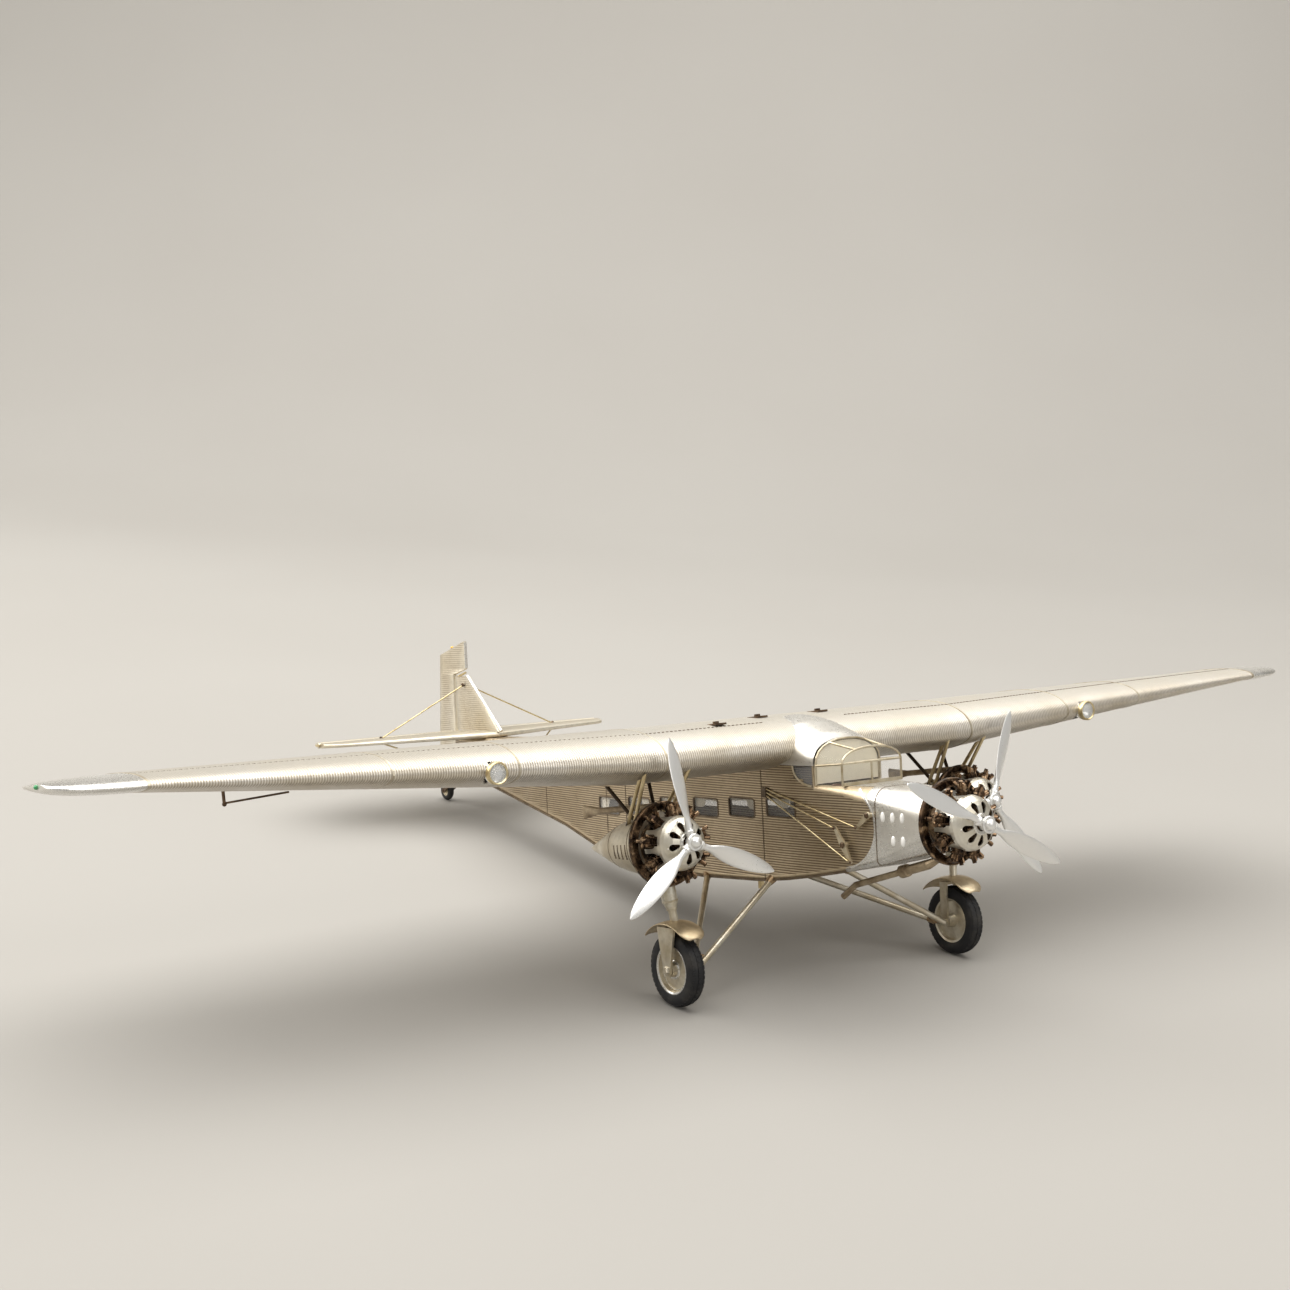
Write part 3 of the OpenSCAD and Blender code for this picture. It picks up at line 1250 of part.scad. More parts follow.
stand() cabin_shell();
stand() nose_shell();
stand() roof_fairing();
stand() canopy_frame();
stand() glazing();
stand() curtains();
stand() cabin_floor();
stand() pilot_seats();
stand() instrument_panel();
stand() drain_pipe();
stand() wing_center();
stand() wing_panel();  // wing_left
stand() mirror([0, 1, 0]) wing_panel();  // wing_right
stand() wing_tip();  // tip_left
stand() mirror([0, 1, 0]) wing_tip();  // tip_right
stand() wing_spar();
stand() aileron();  // aileron_left
stand() mirror([0, 1, 0]) aileron();  // aileron_right
stand() filler_caps();
stand() light_housings();
stand() light_lenses();
stand() nav_lights();
stand() pitot_boom();
stand() fin();
stand() rudder();
stand() tailplane();
stand() elevator();
stand() tail_braces();
stand() hinge_wires();
stand() rudder_post();
stand() tail_lamp();
stand() tail_fork();
stand() tail_wheel();
stand() tail_tyre();
stand() shock_sleeves();
stand() lower_legs();
stand() vee_struts();
stand() mudguards();
stand() main_wheel();  // wheel_left
stand() mirror([0, 1, 0]) main_wheel();  // wheel_right
stand() main_tyre();  // tyre_left
stand() mirror([0, 1, 0]) main_tyre();  // tyre_right
stand() crankcases();
stand() at_engine(0) cylinder_row();  // nose_cylinders
stand() at_engine(1) cylinder_row();  // left_cylinders
stand() at_engine(-1) cylinder_row();  // right_cylinders
stand() at_engine(0) cowl();  // nose_cowl
stand() at_engine(1) cowl();  // left_cowl
stand() at_engine(-1) cowl();  // right_cowl
stand() collector_rings();
stand() at_engine(0) propeller(nose_prop_r, 2, 154);  // nose_propeller
stand() at_engine(1) propeller(wing_prop_r, 3, 66);  // left_propeller
stand() at_engine(-1) propeller(wing_prop_r, 3, 98);  // right_propeller
stand() nacelle(1);  // nacelle_left
stand() nacelle(-1);  // nacelle_right
stand() engine_mounts();
stand() exhaust_pipes();
stand() control_levers();
stand() control_wires();
stand() wire_plates();
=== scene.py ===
import json
import math

import bmesh
import bpy
from mathutils import Matrix, Vector


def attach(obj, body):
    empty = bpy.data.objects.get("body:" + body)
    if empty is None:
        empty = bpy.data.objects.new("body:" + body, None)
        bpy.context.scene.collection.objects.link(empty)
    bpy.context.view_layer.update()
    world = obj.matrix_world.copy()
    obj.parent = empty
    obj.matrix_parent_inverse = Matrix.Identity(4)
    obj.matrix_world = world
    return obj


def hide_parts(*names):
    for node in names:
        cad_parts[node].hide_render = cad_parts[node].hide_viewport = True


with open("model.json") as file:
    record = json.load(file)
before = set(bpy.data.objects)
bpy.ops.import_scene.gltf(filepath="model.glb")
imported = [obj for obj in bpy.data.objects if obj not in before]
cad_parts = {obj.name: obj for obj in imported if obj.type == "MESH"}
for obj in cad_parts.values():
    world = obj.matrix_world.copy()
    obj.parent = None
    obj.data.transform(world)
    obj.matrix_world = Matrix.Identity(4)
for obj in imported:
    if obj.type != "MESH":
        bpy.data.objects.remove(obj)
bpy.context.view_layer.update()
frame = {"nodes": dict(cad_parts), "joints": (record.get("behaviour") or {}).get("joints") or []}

# The camera stands ahead of the right wing and a little above it, as in the photograph.
# Everything is drawn in millimetres in the flying frame: the nose propeller's hub is the origin,
# X points forwards, Y to the left wing, Z up, and a station is a distance aft of the hub.
MM = 0.001
MERGED = 0.004  # points closer than this are one
joints = {joint["name"]: joint for joint in frame["joints"]}
hub = Vector(joints["nose_propeller_spin"]["pos_m"])
forward = Vector(joints["nose_propeller_spin"]["axis"]).normalized()
upward = Vector(joints["rudder_hinge"]["axis"]).normalized()
axes = Matrix((forward, upward.cross(forward), upward)).transposed().to_4x4()
to_world = Matrix.Translation(hub) @ axes @ Matrix.Scale(MM, 4)

# The camera's direction as seen from above, its tilt and its roll
heading = math.radians(143.842)
pitch = math.radians(-10.492)
roll = math.radians(3.624)
flat_look = Vector((math.cos(heading), math.sin(heading), 0))
look = flat_look * math.cos(pitch) + Vector((0, 0, math.sin(pitch)))
level_right = look.cross(Vector((0, 0, 1))).normalized()
level_up = level_right.cross(look)
right = math.cos(roll) * level_right + math.sin(roll) * level_up
over = math.cos(roll) * level_up - math.sin(roll) * level_right
camera_data = bpy.data.cameras.new("camera")
camera_data.lens = 59.98
camera_data.sensor_width = 36
camera_data.clip_start = 0.01
camera = bpy.data.objects.new("camera", camera_data)
bpy.context.scene.collection.objects.link(camera)
turned = Matrix((right, over, -look)).transposed().to_4x4()
camera_place = Vector((hub.x + 0.6474, -0.6640, 0.3423))
camera.matrix_world = Matrix.Translation(camera_place) @ turned
bpy.context.scene.camera = camera


# The studio: a seamless paper sweep in a warm pale grey that rises behind the model, a wide soft
# light overhead, a smaller one at the left and a weak one from the camera's side.
class Value:
    """A shader value. Arithmetic on it adds Math nodes, and node() adds any other kind of node."""

    def __init__(self, tree, socket):
        self.tree = tree
        self.socket = socket

    def node(self, kind, values, output=0, **settings):
        added = self.tree.nodes.new(kind)
        for name, setting in settings.items():
            setattr(added, name, setting)
        for name, value in values.items():
            if isinstance(value, Value):
                self.tree.links.new(value.socket, added.inputs[name])
            else:
                added.inputs[name].default_value = value
        return Value(self.tree, added.outputs[output])

    def maths(self, operation, first, second=0.0):
        return self.node("ShaderNodeMath", {0: first, 1: second}, operation=operation)

    def __add__(self, other):
        return self.maths("ADD", self, other)

    def __sub__(self, other):
        return self.maths("SUBTRACT", self, other)

    def __rsub__(self, other):
        return self.maths("SUBTRACT", other, self)

    def __mul__(self, other):
        return self.maths("MULTIPLY", self, other)

    __rmul__ = __mul__

    def __pow__(self, other):
        return self.maths("POWER", self, other)

    def ramp(self, low, high, start=0.0, end=1.0):
        steps = {"Value": self, "From Min": low, "From Max": high, "To Min": start, "To Max": end}
        return self.node("ShaderNodeMapRange", steps, clamp=True)

    def mix(self, first, second):
        """Colour first where this value is 0, second where it is 1"""
        first, second = [end if isinstance(end, Value) else (*end, 1) for end in (first, second)]
        return self.node("ShaderNodeMix", {0: self, 6: first, 7: second}, 2, data_type="RGBA")

    def bump(self, strength, distance):
        relief = {"Height": self, "Strength": strength, "Distance": distance}
        return self.node("ShaderNodeBump", relief)

    def noise(self, scale, detail=3.0, stretch=(1, 1, 1)):
        """Noise with this many cells to the millimetre; stretch makes it run along one direction"""
        placed = self.node("ShaderNodeMapping", {"Vector": self, "Scale": stretch})
        cells = {"Vector": placed, "Scale": scale / MM, "Detail": detail}
        return self.node("ShaderNodeTexNoise", cells)


def start_material(name, **constants):
    """A new material, its shader, and the place of a point on the object"""
    material = bpy.data.materials.new(name)
    material.use_nodes = True
    tree = material.node_tree
    shader = tree.nodes["Principled BSDF"]
    for socket, value in constants.items():
        shader.inputs[socket.replace("_", " ")].default_value = value
    place = Value(tree, tree.nodes.new("ShaderNodeTexCoord").outputs["Object"])
    return material, shader, place


def feed(shader, socket, value):
    value.tree.links.new(value.socket, shader.inputs[socket])


def add_piece(name, bm, material, replaced=(), crease=35, out=True, body="airframe"):
    """Turns a mesh drawn in the flying frame into a finished piece that rides on a body"""
    bmesh.ops.remove_doubles(bm, verts=bm.verts, dist=MERGED)
    if out:
        bmesh.ops.recalc_face_normals(bm, faces=bm.faces)
    bm.transform(to_world)
    mesh = bpy.data.meshes.new(name)
    bm.to_mesh(mesh)
    bm.free()
    mesh.materials.append(material)
    mesh.shade_smooth()
    mesh.set_sharp_from_angle(angle=math.radians(crease))
    piece = bpy.data.objects.new(name, mesh)
    bpy.context.scene.collection.objects.link(piece)
    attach(piece, body)
    if replaced:
        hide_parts(*replaced)
    return piece


def dress(material, *nodes):
    """Gives solids that are shown as they are their finish"""
    for node in nodes:
        slots = frame["nodes"][node].data.materials
        slots.clear()
        slots.append(material)


def verts_of(geometry):
    return [item for item in geometry if isinstance(item, bmesh.types.BMVert)]


paper, shader, place = start_material("sweep_paper", Roughness=0.85)
feed(shader, "Base Color", place.noise(0.002, 2).mix((0.325, 0.308, 0.282), (0.36, 0.345, 0.32)))
bm = bmesh.new()
sweep_width = 9.0
sweep_front = -3.0
sweep_bend = 1.3
bend_radius = 1.1
sweep_top = 6.0
profile = [(sweep_front, 0.0), (sweep_bend, 0.0)]
for step in range(1, 13):
    turn = math.radians(90) * step / 12
    profile.append((sweep_bend + bend_radius * math.sin(turn), bend_radius * (1 - math.cos(turn))))
profile.append((sweep_bend + bend_radius, sweep_top))
edge = [bm.verts.new((distance, -sweep_width / 2, height)) for distance, height in profile]
rim = [bm.edges.new(pair) for pair in zip(edge, edge[1:])]
moved = bmesh.ops.extrude_edge_only(bm, edges=rim)["geom"]
bmesh.ops.translate(bm, vec=(0, sweep_width, 0), verts=verts_of(moved))
bm.transform(Matrix.Rotation(heading, 4, "Z"))
bmesh.ops.recalc_face_normals(bm, faces=bm.faces)
mesh = bpy.data.meshes.new("sweep")
bm.to_mesh(mesh)
bm.free()
mesh.materials.append(paper)
mesh.shade_smooth()
sweep = bpy.data.objects.new("sweep", mesh)
bpy.context.scene.collection.objects.link(sweep)


def add_light(name, place, target, size, watts, colour):
    data = bpy.data.lights.new(name, "AREA")
    data.shape = "RECTANGLE"
    data.size = size[0]
    data.size_y = size[1]
    data.energy = watts
    data.color = colour
    light = bpy.data.objects.new(name, data)
    aim = (Vector(target) - Vector(place)).to_track_quat("-Z", "Y")
    light.matrix_world = Matrix.Translation(Vector(place)) @ aim.to_matrix().to_4x4()
    bpy.context.scene.collection.objects.link(light)


add_light("overhead_softbox", (-0.3, 0.0, 2.1), (0, 0, 0), (4.0, 3.0), 116, (1.0, 0.99, 0.97))
add_light("left_softbox", (-1.5, -1.6, 1.0), (0, 0, 0.1), (2.0, 1.4), 34, (1.0, 0.98, 0.94))
add_light("camera_side_fill", (1.8, 0.3, 1.2), (0.1, 0, 0.1), (1.0, 1.0), 7, (1.0, 0.97, 0.93))
world = bpy.data.worlds.new("studio")
world.use_nodes = True
sky = world.node_tree.nodes["Background"]
sky.inputs["Color"].default_value = (0.93, 0.91, 0.88, 1)
sky.inputs["Strength"].default_value = 0.5
bpy.context.scene.world = world
bpy.context.scene.view_settings.view_transform = "Standard"

# The wing: thin sheet metal pressed in grooves that run with the flow, on a centre section and two
# outer panels that taper and rise towards smooth rounded tips. Its outline repeats the solids'.
GROOVE = 1.2  # distance from one groove to the next
DEPTH = 0.17  # depth of the grooves
STEP = GROOVE / 4
JOINT_Y = 95  # where the outer panels begin
TIP_Y = 335
HALF_SPAN = 371
# Station and height of the leading edge, chord, and depths above and below, from the middle outwards
ROOT = (104, 30.5, 124, 15.5, 10)
TIP = (121, 42.5, 76, 4.5, 3)
POINT = (140, 44, 14, 1.2, 1)
TE_SLOPE = 0.028
TE_HALF = 0.4
AILERON_IN = 205
AILERON_OUT = 328
AILERON_CHORD = 19
LIGHT_Y = 182.7
SEAM_BACK = 17.5  # from the leading edge to the seam behind it
HANDS = ((1, "left"), (-1, "right"))


def mix(a, b, t):
    return a + (b - a) * t


def mixed(low, high, t):
    return [mix(a, b, t) for a, b in zip(low, high)]


def wing_shape(y):
    return mixed(ROOT, TIP, max(0.0, (y - JOINT_Y) / (TIP_Y - JOINT_Y)))


def thickness(t):
    return 10 * (0.2969 * math.sqrt(t) - 0.126 * t - 0.3516 * t**2 + 0.2843 * t**3 - 0.1036 * t**4)


def groove(distance):
    """0 on a crest of the sheet, 1 at the bottom of a groove"""
    return 0.5 - 0.5 * math.cos(2 * math.pi * distance / GROOVE)


def section_point(shape, y, t, face):
    """A point of a section, this share of the chord behind its leading edge; face is 1 above, -1 below"""
    le, le_z, chord, crown, belly = shape
    depth = (crown if face > 0 else belly) * thickness(t) + TE_HALF * t
    return Vector((-le - chord * t, y, le_z - TE_SLOPE * chord * t + face * depth))


SHARES = [(k / 22) ** 1.7 for k in range(23)]
AROUND = [(t, -1) for t in reversed(SHARES[1:])] + [(t, 1) for t in SHARES]


def hinge_point(y):
    """Station and height of an aileron's hinge"""
    le, le_z, chord, crown, belly = wing_shape(y)
    t = 1 - AILERON_CHORD / chord
    return le + chord - AILERON_CHORD, le_z - TE_SLOPE * chord * t + (crown - belly) * thickness(t) / 2


def hinge_radius(y):
    return mix(3, 1.7, (y - AILERON_IN) / (AILERON_OUT - AILERON_IN))


def wing_ring(y, bay=False, side=1):
    shape = wing_shape(y)
    last = 1.0
    if bay:
        last = (hinge_point(y)[0] - hinge_radius(y) - 0.5 - shape[0]) / shape[2]
    points = [(section_point(shape, side * y, min(t, last), face), t) for t, face in AROUND]
    return [(point, min(1.0, (1.02 - t) * 9)) for point, t in points]


def grid(bm, columns, rows, size=0.5):
    return bmesh.ops.create_grid(bm, x_segments=columns, y_segments=rows, size=size)["verts"]


def placed_grid(bm, columns, rows, closed=True):
    """Each vertex of a grid, its column and its row; when closed, the last row is the first again"""
    for vert in grid(bm, columns, rows, 1):
        row = round((vert.co.y + 1) / 2 * rows)
        yield vert, round((vert.co.x + 1) / 2 * columns), row % rows if closed else row


def ribbed_sheet(rings, places=()):
    """A closed surface through rings of (point, share of the full depth), grooved along its places"""
    depths = [groove(place) for place in places] or [0] * len(rings)
    rows = len(rings[0])
    bm = bmesh.new()
    pressed = bm.verts.layers.float.new("groove")
    for vert, i, j in placed_grid(bm, len(rings) - 1, rows):
        ring = rings[i]
        point, share = ring[j]
        run = ring[(j + 1) % rows][0] - ring[j - 1][0]
        across = rings[min(i + 1, len(rings) - 1)][j][0] - rings[max(i - 1, 0)][j][0]
        vert.co = point + run.cross(across).normalized() * (DEPTH * share * depths[i])
        vert[pressed] = share * depths[i]
    bmesh.ops.remove_doubles(bm, verts=bm.verts, dist=MERGED)
    bmesh.ops.holes_fill(bm, edges=[edge for edge in bm.edges if edge.is_boundary], sides=0)
    bmesh.ops.recalc_face_normals(bm, faces=bm.faces)
    # Faces that look upwards get a mask that is partly dust and partly painted shade, to darken them under
    # the overhead light
    dust_and_top_shade = bm.verts.layers.float.new("dust")
    for vert in bm.verts:
        vert[dust_and_top_shade] = max(0.0, min(1.0, (vert.normal.z - 0.75) / 0.17))
    return bm


def aged_metal(
    name, bright, dull, rough, grooves=None, patch=0.03, metallic=0.88, streaks=(1, 1, 1), dirt=0.35
):
    """Aged silver metal: patches of patina, scratches, tarnish in any grooves, dust and painted shade on
    what faces up
    """
    material, shader, place = start_material(name, Metallic=metallic)
    patches = place.noise(patch, 5).ramp(0.35, 0.68)
    grime = place.noise(0.35, 4).ramp(0.5, 0.8)
    colour = patches.mix(bright, dull)
    colour = (grime * dirt).mix(colour, [0.45 * c for c in dull])
    if grooves:
        pressed = place.node("ShaderNodeAttribute", {}, 2, attribute_name="groove")
        colour = (pressed * grooves[3]).mix(colour, grooves[:3])
        # Up-facing faces turn darker and less metallic: partly dust, partly painted shade against the
        # overhead light
        dust = place.node("ShaderNodeAttribute", {}, 2, attribute_name="dust")
        colour = (dust * (0.75 - grime * 0.3)).mix(colour, [0.52 * c for c in dull])
        feed(shader, "Metallic", metallic - dust * 0.5)
    scratches = place.noise(1.6, 4, streaks)
    feed(shader, "Base Color", colour)
    feed(shader, "Roughness", scratches.ramp(0.2, 0.8, rough - 0.09, rough + 0.09) + patches * 0.07)
    feed(shader, "Normal", scratches.bump(0.35, 0.00004))
    return material


wing_skin = aged_metal("wing_skin", (0.90, 0.88, 0.83), (0.74, 0.69, 0.59), 0.36, (0.27, 0.20, 0.12, 0.75))
bright_skin = aged_metal(
    "bright_skin", (0.76, 0.75, 0.72), (0.60, 0.57, 0.51), 0.27, streaks=(0.3, 1, 1), dirt=0.12
)


def columns(start, end, step):
    count = max(1, round((end - start) / step))
    return [start + (end - start) * k / count for k in range(count + 1)]


def cut(bm, inside):
    """Deletes the faces whose middle passes a test"""
    gone = [face for face in bm.faces if inside(face.calc_center_median())]
    bmesh.ops.delete(bm, geom=gone, context="FACES")


def light_front(side):
    """Middle of a landing light's front, in the leading edge"""
    le, le_z, *_ = wing_shape(LIGHT_Y)
    return Vector((2.6 - le, side * LIGHT_Y, le_z - 0.7))


places = columns(-JOINT_Y, JOINT_Y, STEP)
bm = ribbed_sheet([wing_ring(y) for y in places], places)
add_piece("wing_center_skin", bm, wing_skin, ["wing_center"], 50)

for side, hand in HANDS:
    bay = (AILERON_IN - 0.5, AILERON_OUT + 0.5)
    places = [(y, False) for y in columns(JOINT_Y + 0.1, bay[0], STEP)]
    places += [(y, True) for y in columns(bay[0] + 0.02, bay[1] - 0.02, STEP)]
    places += [(y, False) for y in columns(bay[1], TIP_Y, STEP)]
    bm = ribbed_sheet([wing_ring(y, inside, side) for y, inside in places], [y for y, _ in places])
    front = light_front(side)
    cut(bm, lambda centre: centre.x > front.x - 11.6 and (centre.yz - front.yz).length < 4.6)
    add_piece(f"wing_{hand}_skin", bm, wing_skin, [f"wing_{hand}"], 50)

# Wing tips: one smooth polished sheet each, rounded in plan and nearly closed at the point, where
# the small navigation lamp is screwed on.
for side, hand in HANDS:
    rings = []
    for step in range(25):
        u = math.sin(math.radians(90) * step / 24)
        shape = mixed(POINT, TIP, math.sqrt(max(0.0, 1 - u**2.2)))
        y = side * mix(TIP_Y + 0.1, HALF_SPAN, u)
        rings.append([(section_point(shape, y, t, face), 0) for t, face in AROUND])
    add_piece(f"wing_tip_{hand}", ribbed_sheet(rings), bright_skin, [f"tip_{hand}"], 40)


# Joint straps and the seam behind the leading edge: narrow strips of plain sheet laid over the
# grooves, and a row of short dark dashes where the front sheet laps over the ribbed one.
def loft(bm, rings, closed=True, capped=False):
    """A surface through rings of equally many points; its faces"""
    before = set(bm.faces)
    rows = len(rings[0]) if closed else len(rings[0]) - 1
    made = []
    for vert, i, j in placed_grid(bm, len(rings) - 1, rows, closed):
        vert.co = rings[i][j]
        made.append(vert)
    bmesh.ops.remove_doubles(bm, verts=made, dist=MERGED)
    if capped:
        bmesh.ops.holes_fill(bm, edges=[edge for edge in bm.edges if edge.is_boundary], sides=0)
    return [face for face in bm.faces if face not in before]


def strap(bm, points, across, normal_of, thick=0.22):
    """Lays a strip along points; across is half of its width as a vector"""
    rings = []
    for point in points:
        lift = normal_of(point) * thick
        low = point - across
        high = point + across
        rings.append([low - lift, low + lift, high + lift, high - lift])
    loft(bm, rings, capped=True)


def block(bm, size, place):
    made = bmesh.ops.create_cube(bm, size=1)["verts"]
    bmesh.ops.scale(bm, vec=size, verts=made)
    bmesh.ops.transform(bm, matrix=place, verts=made)


def rivet(bm, point, radius=0.32):
    made = bmesh.ops.create_icosphere(bm, subdivisions=1, radius=radius)
    bmesh.ops.translate(bm, vec=point, verts=made["verts"])


strap_metal = aged_metal("strap_metal", (0.66, 0.61, 0.50), (0.40, 0.33, 0.23), 0.38, patch=0.1)
seam_metal = aged_metal("seam_metal", (0.20, 0.15, 0.10), (0.11, 0.08, 0.05), 0.5, patch=0.2, metallic=0.6)


def leading_seam(name, side, places):
    bm = bmesh.new()
    for y in places:
        shape = wing_shape(y)
        spot = section_point(shape, side * y, SEAM_BACK / shape[2], 1)
        block(bm, (0.55, 1.3, 0.3), Matrix.Translation(spot))
    add_piece(f"leading_seam_{name}", bm, seam_metal)


for side, hand in HANDS:
    bm = bmesh.new()
    for y in (JOINT_Y, 170, 230, TIP_Y):
        shape = wing_shape(y)
        middle = Vector((-shape[0] - 0.4 * shape[2], 0, shape[1]))
        path = [section_point(shape, side * y, t, -1) for t in reversed(SHARES[1:19])]
        path += [section_point(shape, side * y, t, 1) for t in SHARES[:20]]
        strap(
            bm, path, Vector((0, 0.45, 0)),
            lambda p: Vector((p.x - middle.x, 0, 3 * (p.z - middle.z))).normalized(),
        )
    add_piece(f"joint_straps_{hand}", bm, strap_metal)
    leading_seam(hand, side, columns(JOINT_Y + 1, TIP_Y - 1, 2 * GROOVE))
leading_seam("center", 1, [y for y in columns(1 - JOINT_Y, JOINT_Y - 1, 2 * GROOVE) if abs(y) > 25])

# Ailerons: ribbed sheet round a tube that turns on a wire, so the front is a half circle and the
# two faces run straight to a thin trailing edge.
for side, hand in HANDS:
    rings = []
    places = columns(AILERON_IN, AILERON_OUT, STEP)
    for y in places:
        station, z = hinge_point(y)
        r = hinge_radius(y)
        hinge = Vector((-station, side * y, z))
        le, le_z, chord, *_ = wing_shape(y)
        tail = Vector((TE_HALF - le - chord, side * y, le_z - TE_SLOPE * chord))
        flats = []
        for face in (1, -1):
            end = tail + Vector((0, 0, face * TE_HALF))
            start = hinge + Vector((0, 0, face * r))
            flats.append([(mix(end, start, t), min(1.0, 6 * t)) for t in (0, 0.03, 0.25, 0.5, 0.75, 0.95)])
        turns = [math.radians(turn) for turn in range(90, -91, -15)]
        tube = [(hinge + Vector((r * math.cos(a), 0, r * math.sin(a))), 0.4) for a in turns]
        rings.append(flats[1] + tube[::-1] + flats[0][::-1])
    bm = ribbed_sheet(rings, places)
    add_piece(
        f"aileron_{hand}_skin", bm, wing_skin, [f"aileron_{hand}"], 50, body=f"{hand}_aileron"
    )

# Small fittings on the wing: tank caps on plates, the two landing lights in the leading edge with
# a brass rim and a spun reflector, navigation lamps on the tips, and the arm under the right wing.
frame_metal = aged_metal("frame_metal", (0.70, 0.63, 0.48), (0.44, 0.36, 0.23), 0.33, patch=0.12)
brass = aged_metal("brass", (0.80, 0.68, 0.42), (0.52, 0.40, 0.20), 0.28, patch=0.15)
dark_bronze = aged_metal("dark_bronze", (0.20, 0.135, 0.085), (0.07, 0.045, 0.03), 0.34, patch=0.18)
reflector = aged_metal("reflector", (0.92, 0.91, 0.88), (0.84, 0.82, 0.77), 0.16, patch=0.2)
lens, shader, place = start_material("clear_lens", Roughness=0.04, IOR=1.45, Metallic=0.0)
feed(shader, "Base Color", place.noise(0.3).mix((0.90, 0.93, 0.95), (0.96, 0.97, 0.97)))
feed(shader, "Alpha", place.noise(0.5).ramp(0, 1, 0.16, 0.3))
lamp_glass, shader, place = start_material("lamp_glass", Roughness=0.12, IOR=1.45, Coat_Weight=0.6)
across = place.node("ShaderNodeSeparateXYZ", {"Vector": place}, 1)
hue = across.ramp(-0.01, 0.01).mix((0.05, 0.42, 0.14), (0.55, 0.04, 0.03))
feed(shader, "Base Color", (place.noise(0.8) * 0.4).mix(hue, (0.02, 0.05, 0.03)))
amber, shader, place = start_material("amber_glass", Roughness=0.15, IOR=1.45, Coat_Weight=0.6)
feed(shader, "Base Color", place.noise(0.8).mix((0.86, 0.38, 0.03), (0.95, 0.55, 0.08)))
dress(dark_bronze, "filler_caps", "pitot_boom")
dress(lens, "light_lenses")
dress(lamp_glass, "nav_lights")
dress(amber, "tail_lamp")
dress(reflector, "light_housings")


def spun(bm, profile, centre, axis, segments=48):
    """Spins a profile of (distance along the axis, radius) round a line through centre"""
    axis = Vector(axis).normalized()
    side = axis.orthogonal().normalized()
    points = [bm.verts.new(Vector(centre) + axis * along + side * radius) for along, radius in profile]
    edges = [bm.edges.new(pair) for pair in zip(points, points[1:])]
    bmesh.ops.spin(
        bm, geom=points + edges, cent=centre, axis=axis, angle=2 * math.pi, steps=segments, use_merge=True
    )


RIM = [(-2.2, 5.05), (0.1, 5.15), (0.55, 4.9), (0.65, 4.5), (0.3, 4.15), (-0.1, 4.15), (-2.2, 5.05)]
BULB = [(-5, 0), (-4.8, 0.5), (-3.4, 0.7), (-2.6, 1.0), (-1.8, 0.8), (-1.4, 0)]
rims = bmesh.new()
bm = bmesh.new()
for side in (1, -1):
    spun(rims, RIM, light_front(side), (1, 0, 0))
    spun(bm, BULB, light_front(side), (1, 0, 0), 20)
add_piece("light_rims", rims, brass)
add_piece("light_bulbs", bm, reflector)

# The fuselage: four flat walls of ribbed sheet, whose grooves run level and are cut off by the
# rising belly, with narrow rounded corners. The front wall ends in a half ellipse at the nose.
BODY = [  # station, half width, top, bottom, radius of the upper and of the lower corners
    (24, 13.8, 13.6, -13.8, 12.5, 9), (40, 15.6, 14.4, -17.4, 10, 5), (55, 17.2, 14.8, -21.2, 7.5, 3),
    (73.5, 18.8, 14.6, -25.2, 4, 2), (91, 20.8, 14.4, -28.3, 2, 2), (92, 20.9, 24.5, -28.5, 1.4, 2),
    (110, 22.8, 26.7, -31.2, 1.4, 2), (130, 23.5, 27, -33.4, 1.4, 2), (178, 23.5, 27, -35.3, 1.4, 2),
    (228, 23, 29.4, -34.1, 2, 2), (266, 21.4, 28.6, -30, 2.5, 2), (309, 17.8, 27.4, -18.8, 3, 2),
    (396, 10.5, 25.3, -2.7, 2.5, 2), (436, 6.4, 25.3, 4.5, 2.5, 1.5), (450.4, 2.6, 25.3, 7.6, 1.2, 1),
]
WINDOW_L = 20
WINDOW_H = 9
COCKPIT_HALF = 16.8
QUARTER_X = 92.4  # the quarter windows' front edge
QUARTER_L = 12
QUARTER_H = 9.2
PITCH = 29.2  # from one window to the next; the row sinks a little towards the tail
WINDOWS = [(124.2 + PITCH * i, 7.4 - 0.052 * PITCH * i) for i in range(6)]


def table_at(table, place):
    """The values of a table at a place between its rows"""
    for low, high in zip(table, table[1:]):
        if place <= high[0]:
            break
    return mixed(low, high, min(1.0, max(0.0, (place - low[0]) / (high[0] - low[0]))))[1:]


def body_at(station):
    return table_at(BODY, station)


def nose_edge(z):
    """Station where the smooth nose ends and the ribbed walls begin, at this height"""
    if z > 13.5 or z < -22.7:
        return 73.5
    return 76 - 22 * math.sqrt(1 - ((z + 3.5) / 19.7) ** 2)


def body_rows(step_side, step_flat, corner_steps):
    """The kinds of row round the body, from the upper left corner down and round"""
    walls = columns(30, -36, -step_side)
    flats = columns(24, -24, -step_flat)
    turns = [(k + 0.5) / corner_steps * 90 for k in range(corner_steps)]
    rows = [("left", z) for z in walls] + [("corner", -1, 1, a) for a in turns]
    rows += [("belly", y) for y in flats] + [("corner", -1, -1, 90 - a) for a in turns]
    rows += [("right", z) for z in reversed(walls)] + [("corner", 1, -1, a) for a in turns]
    rows += [("deck", -y) for y in flats] + [("corner", 1, 1, 90 - a) for a in turns]
    return rows


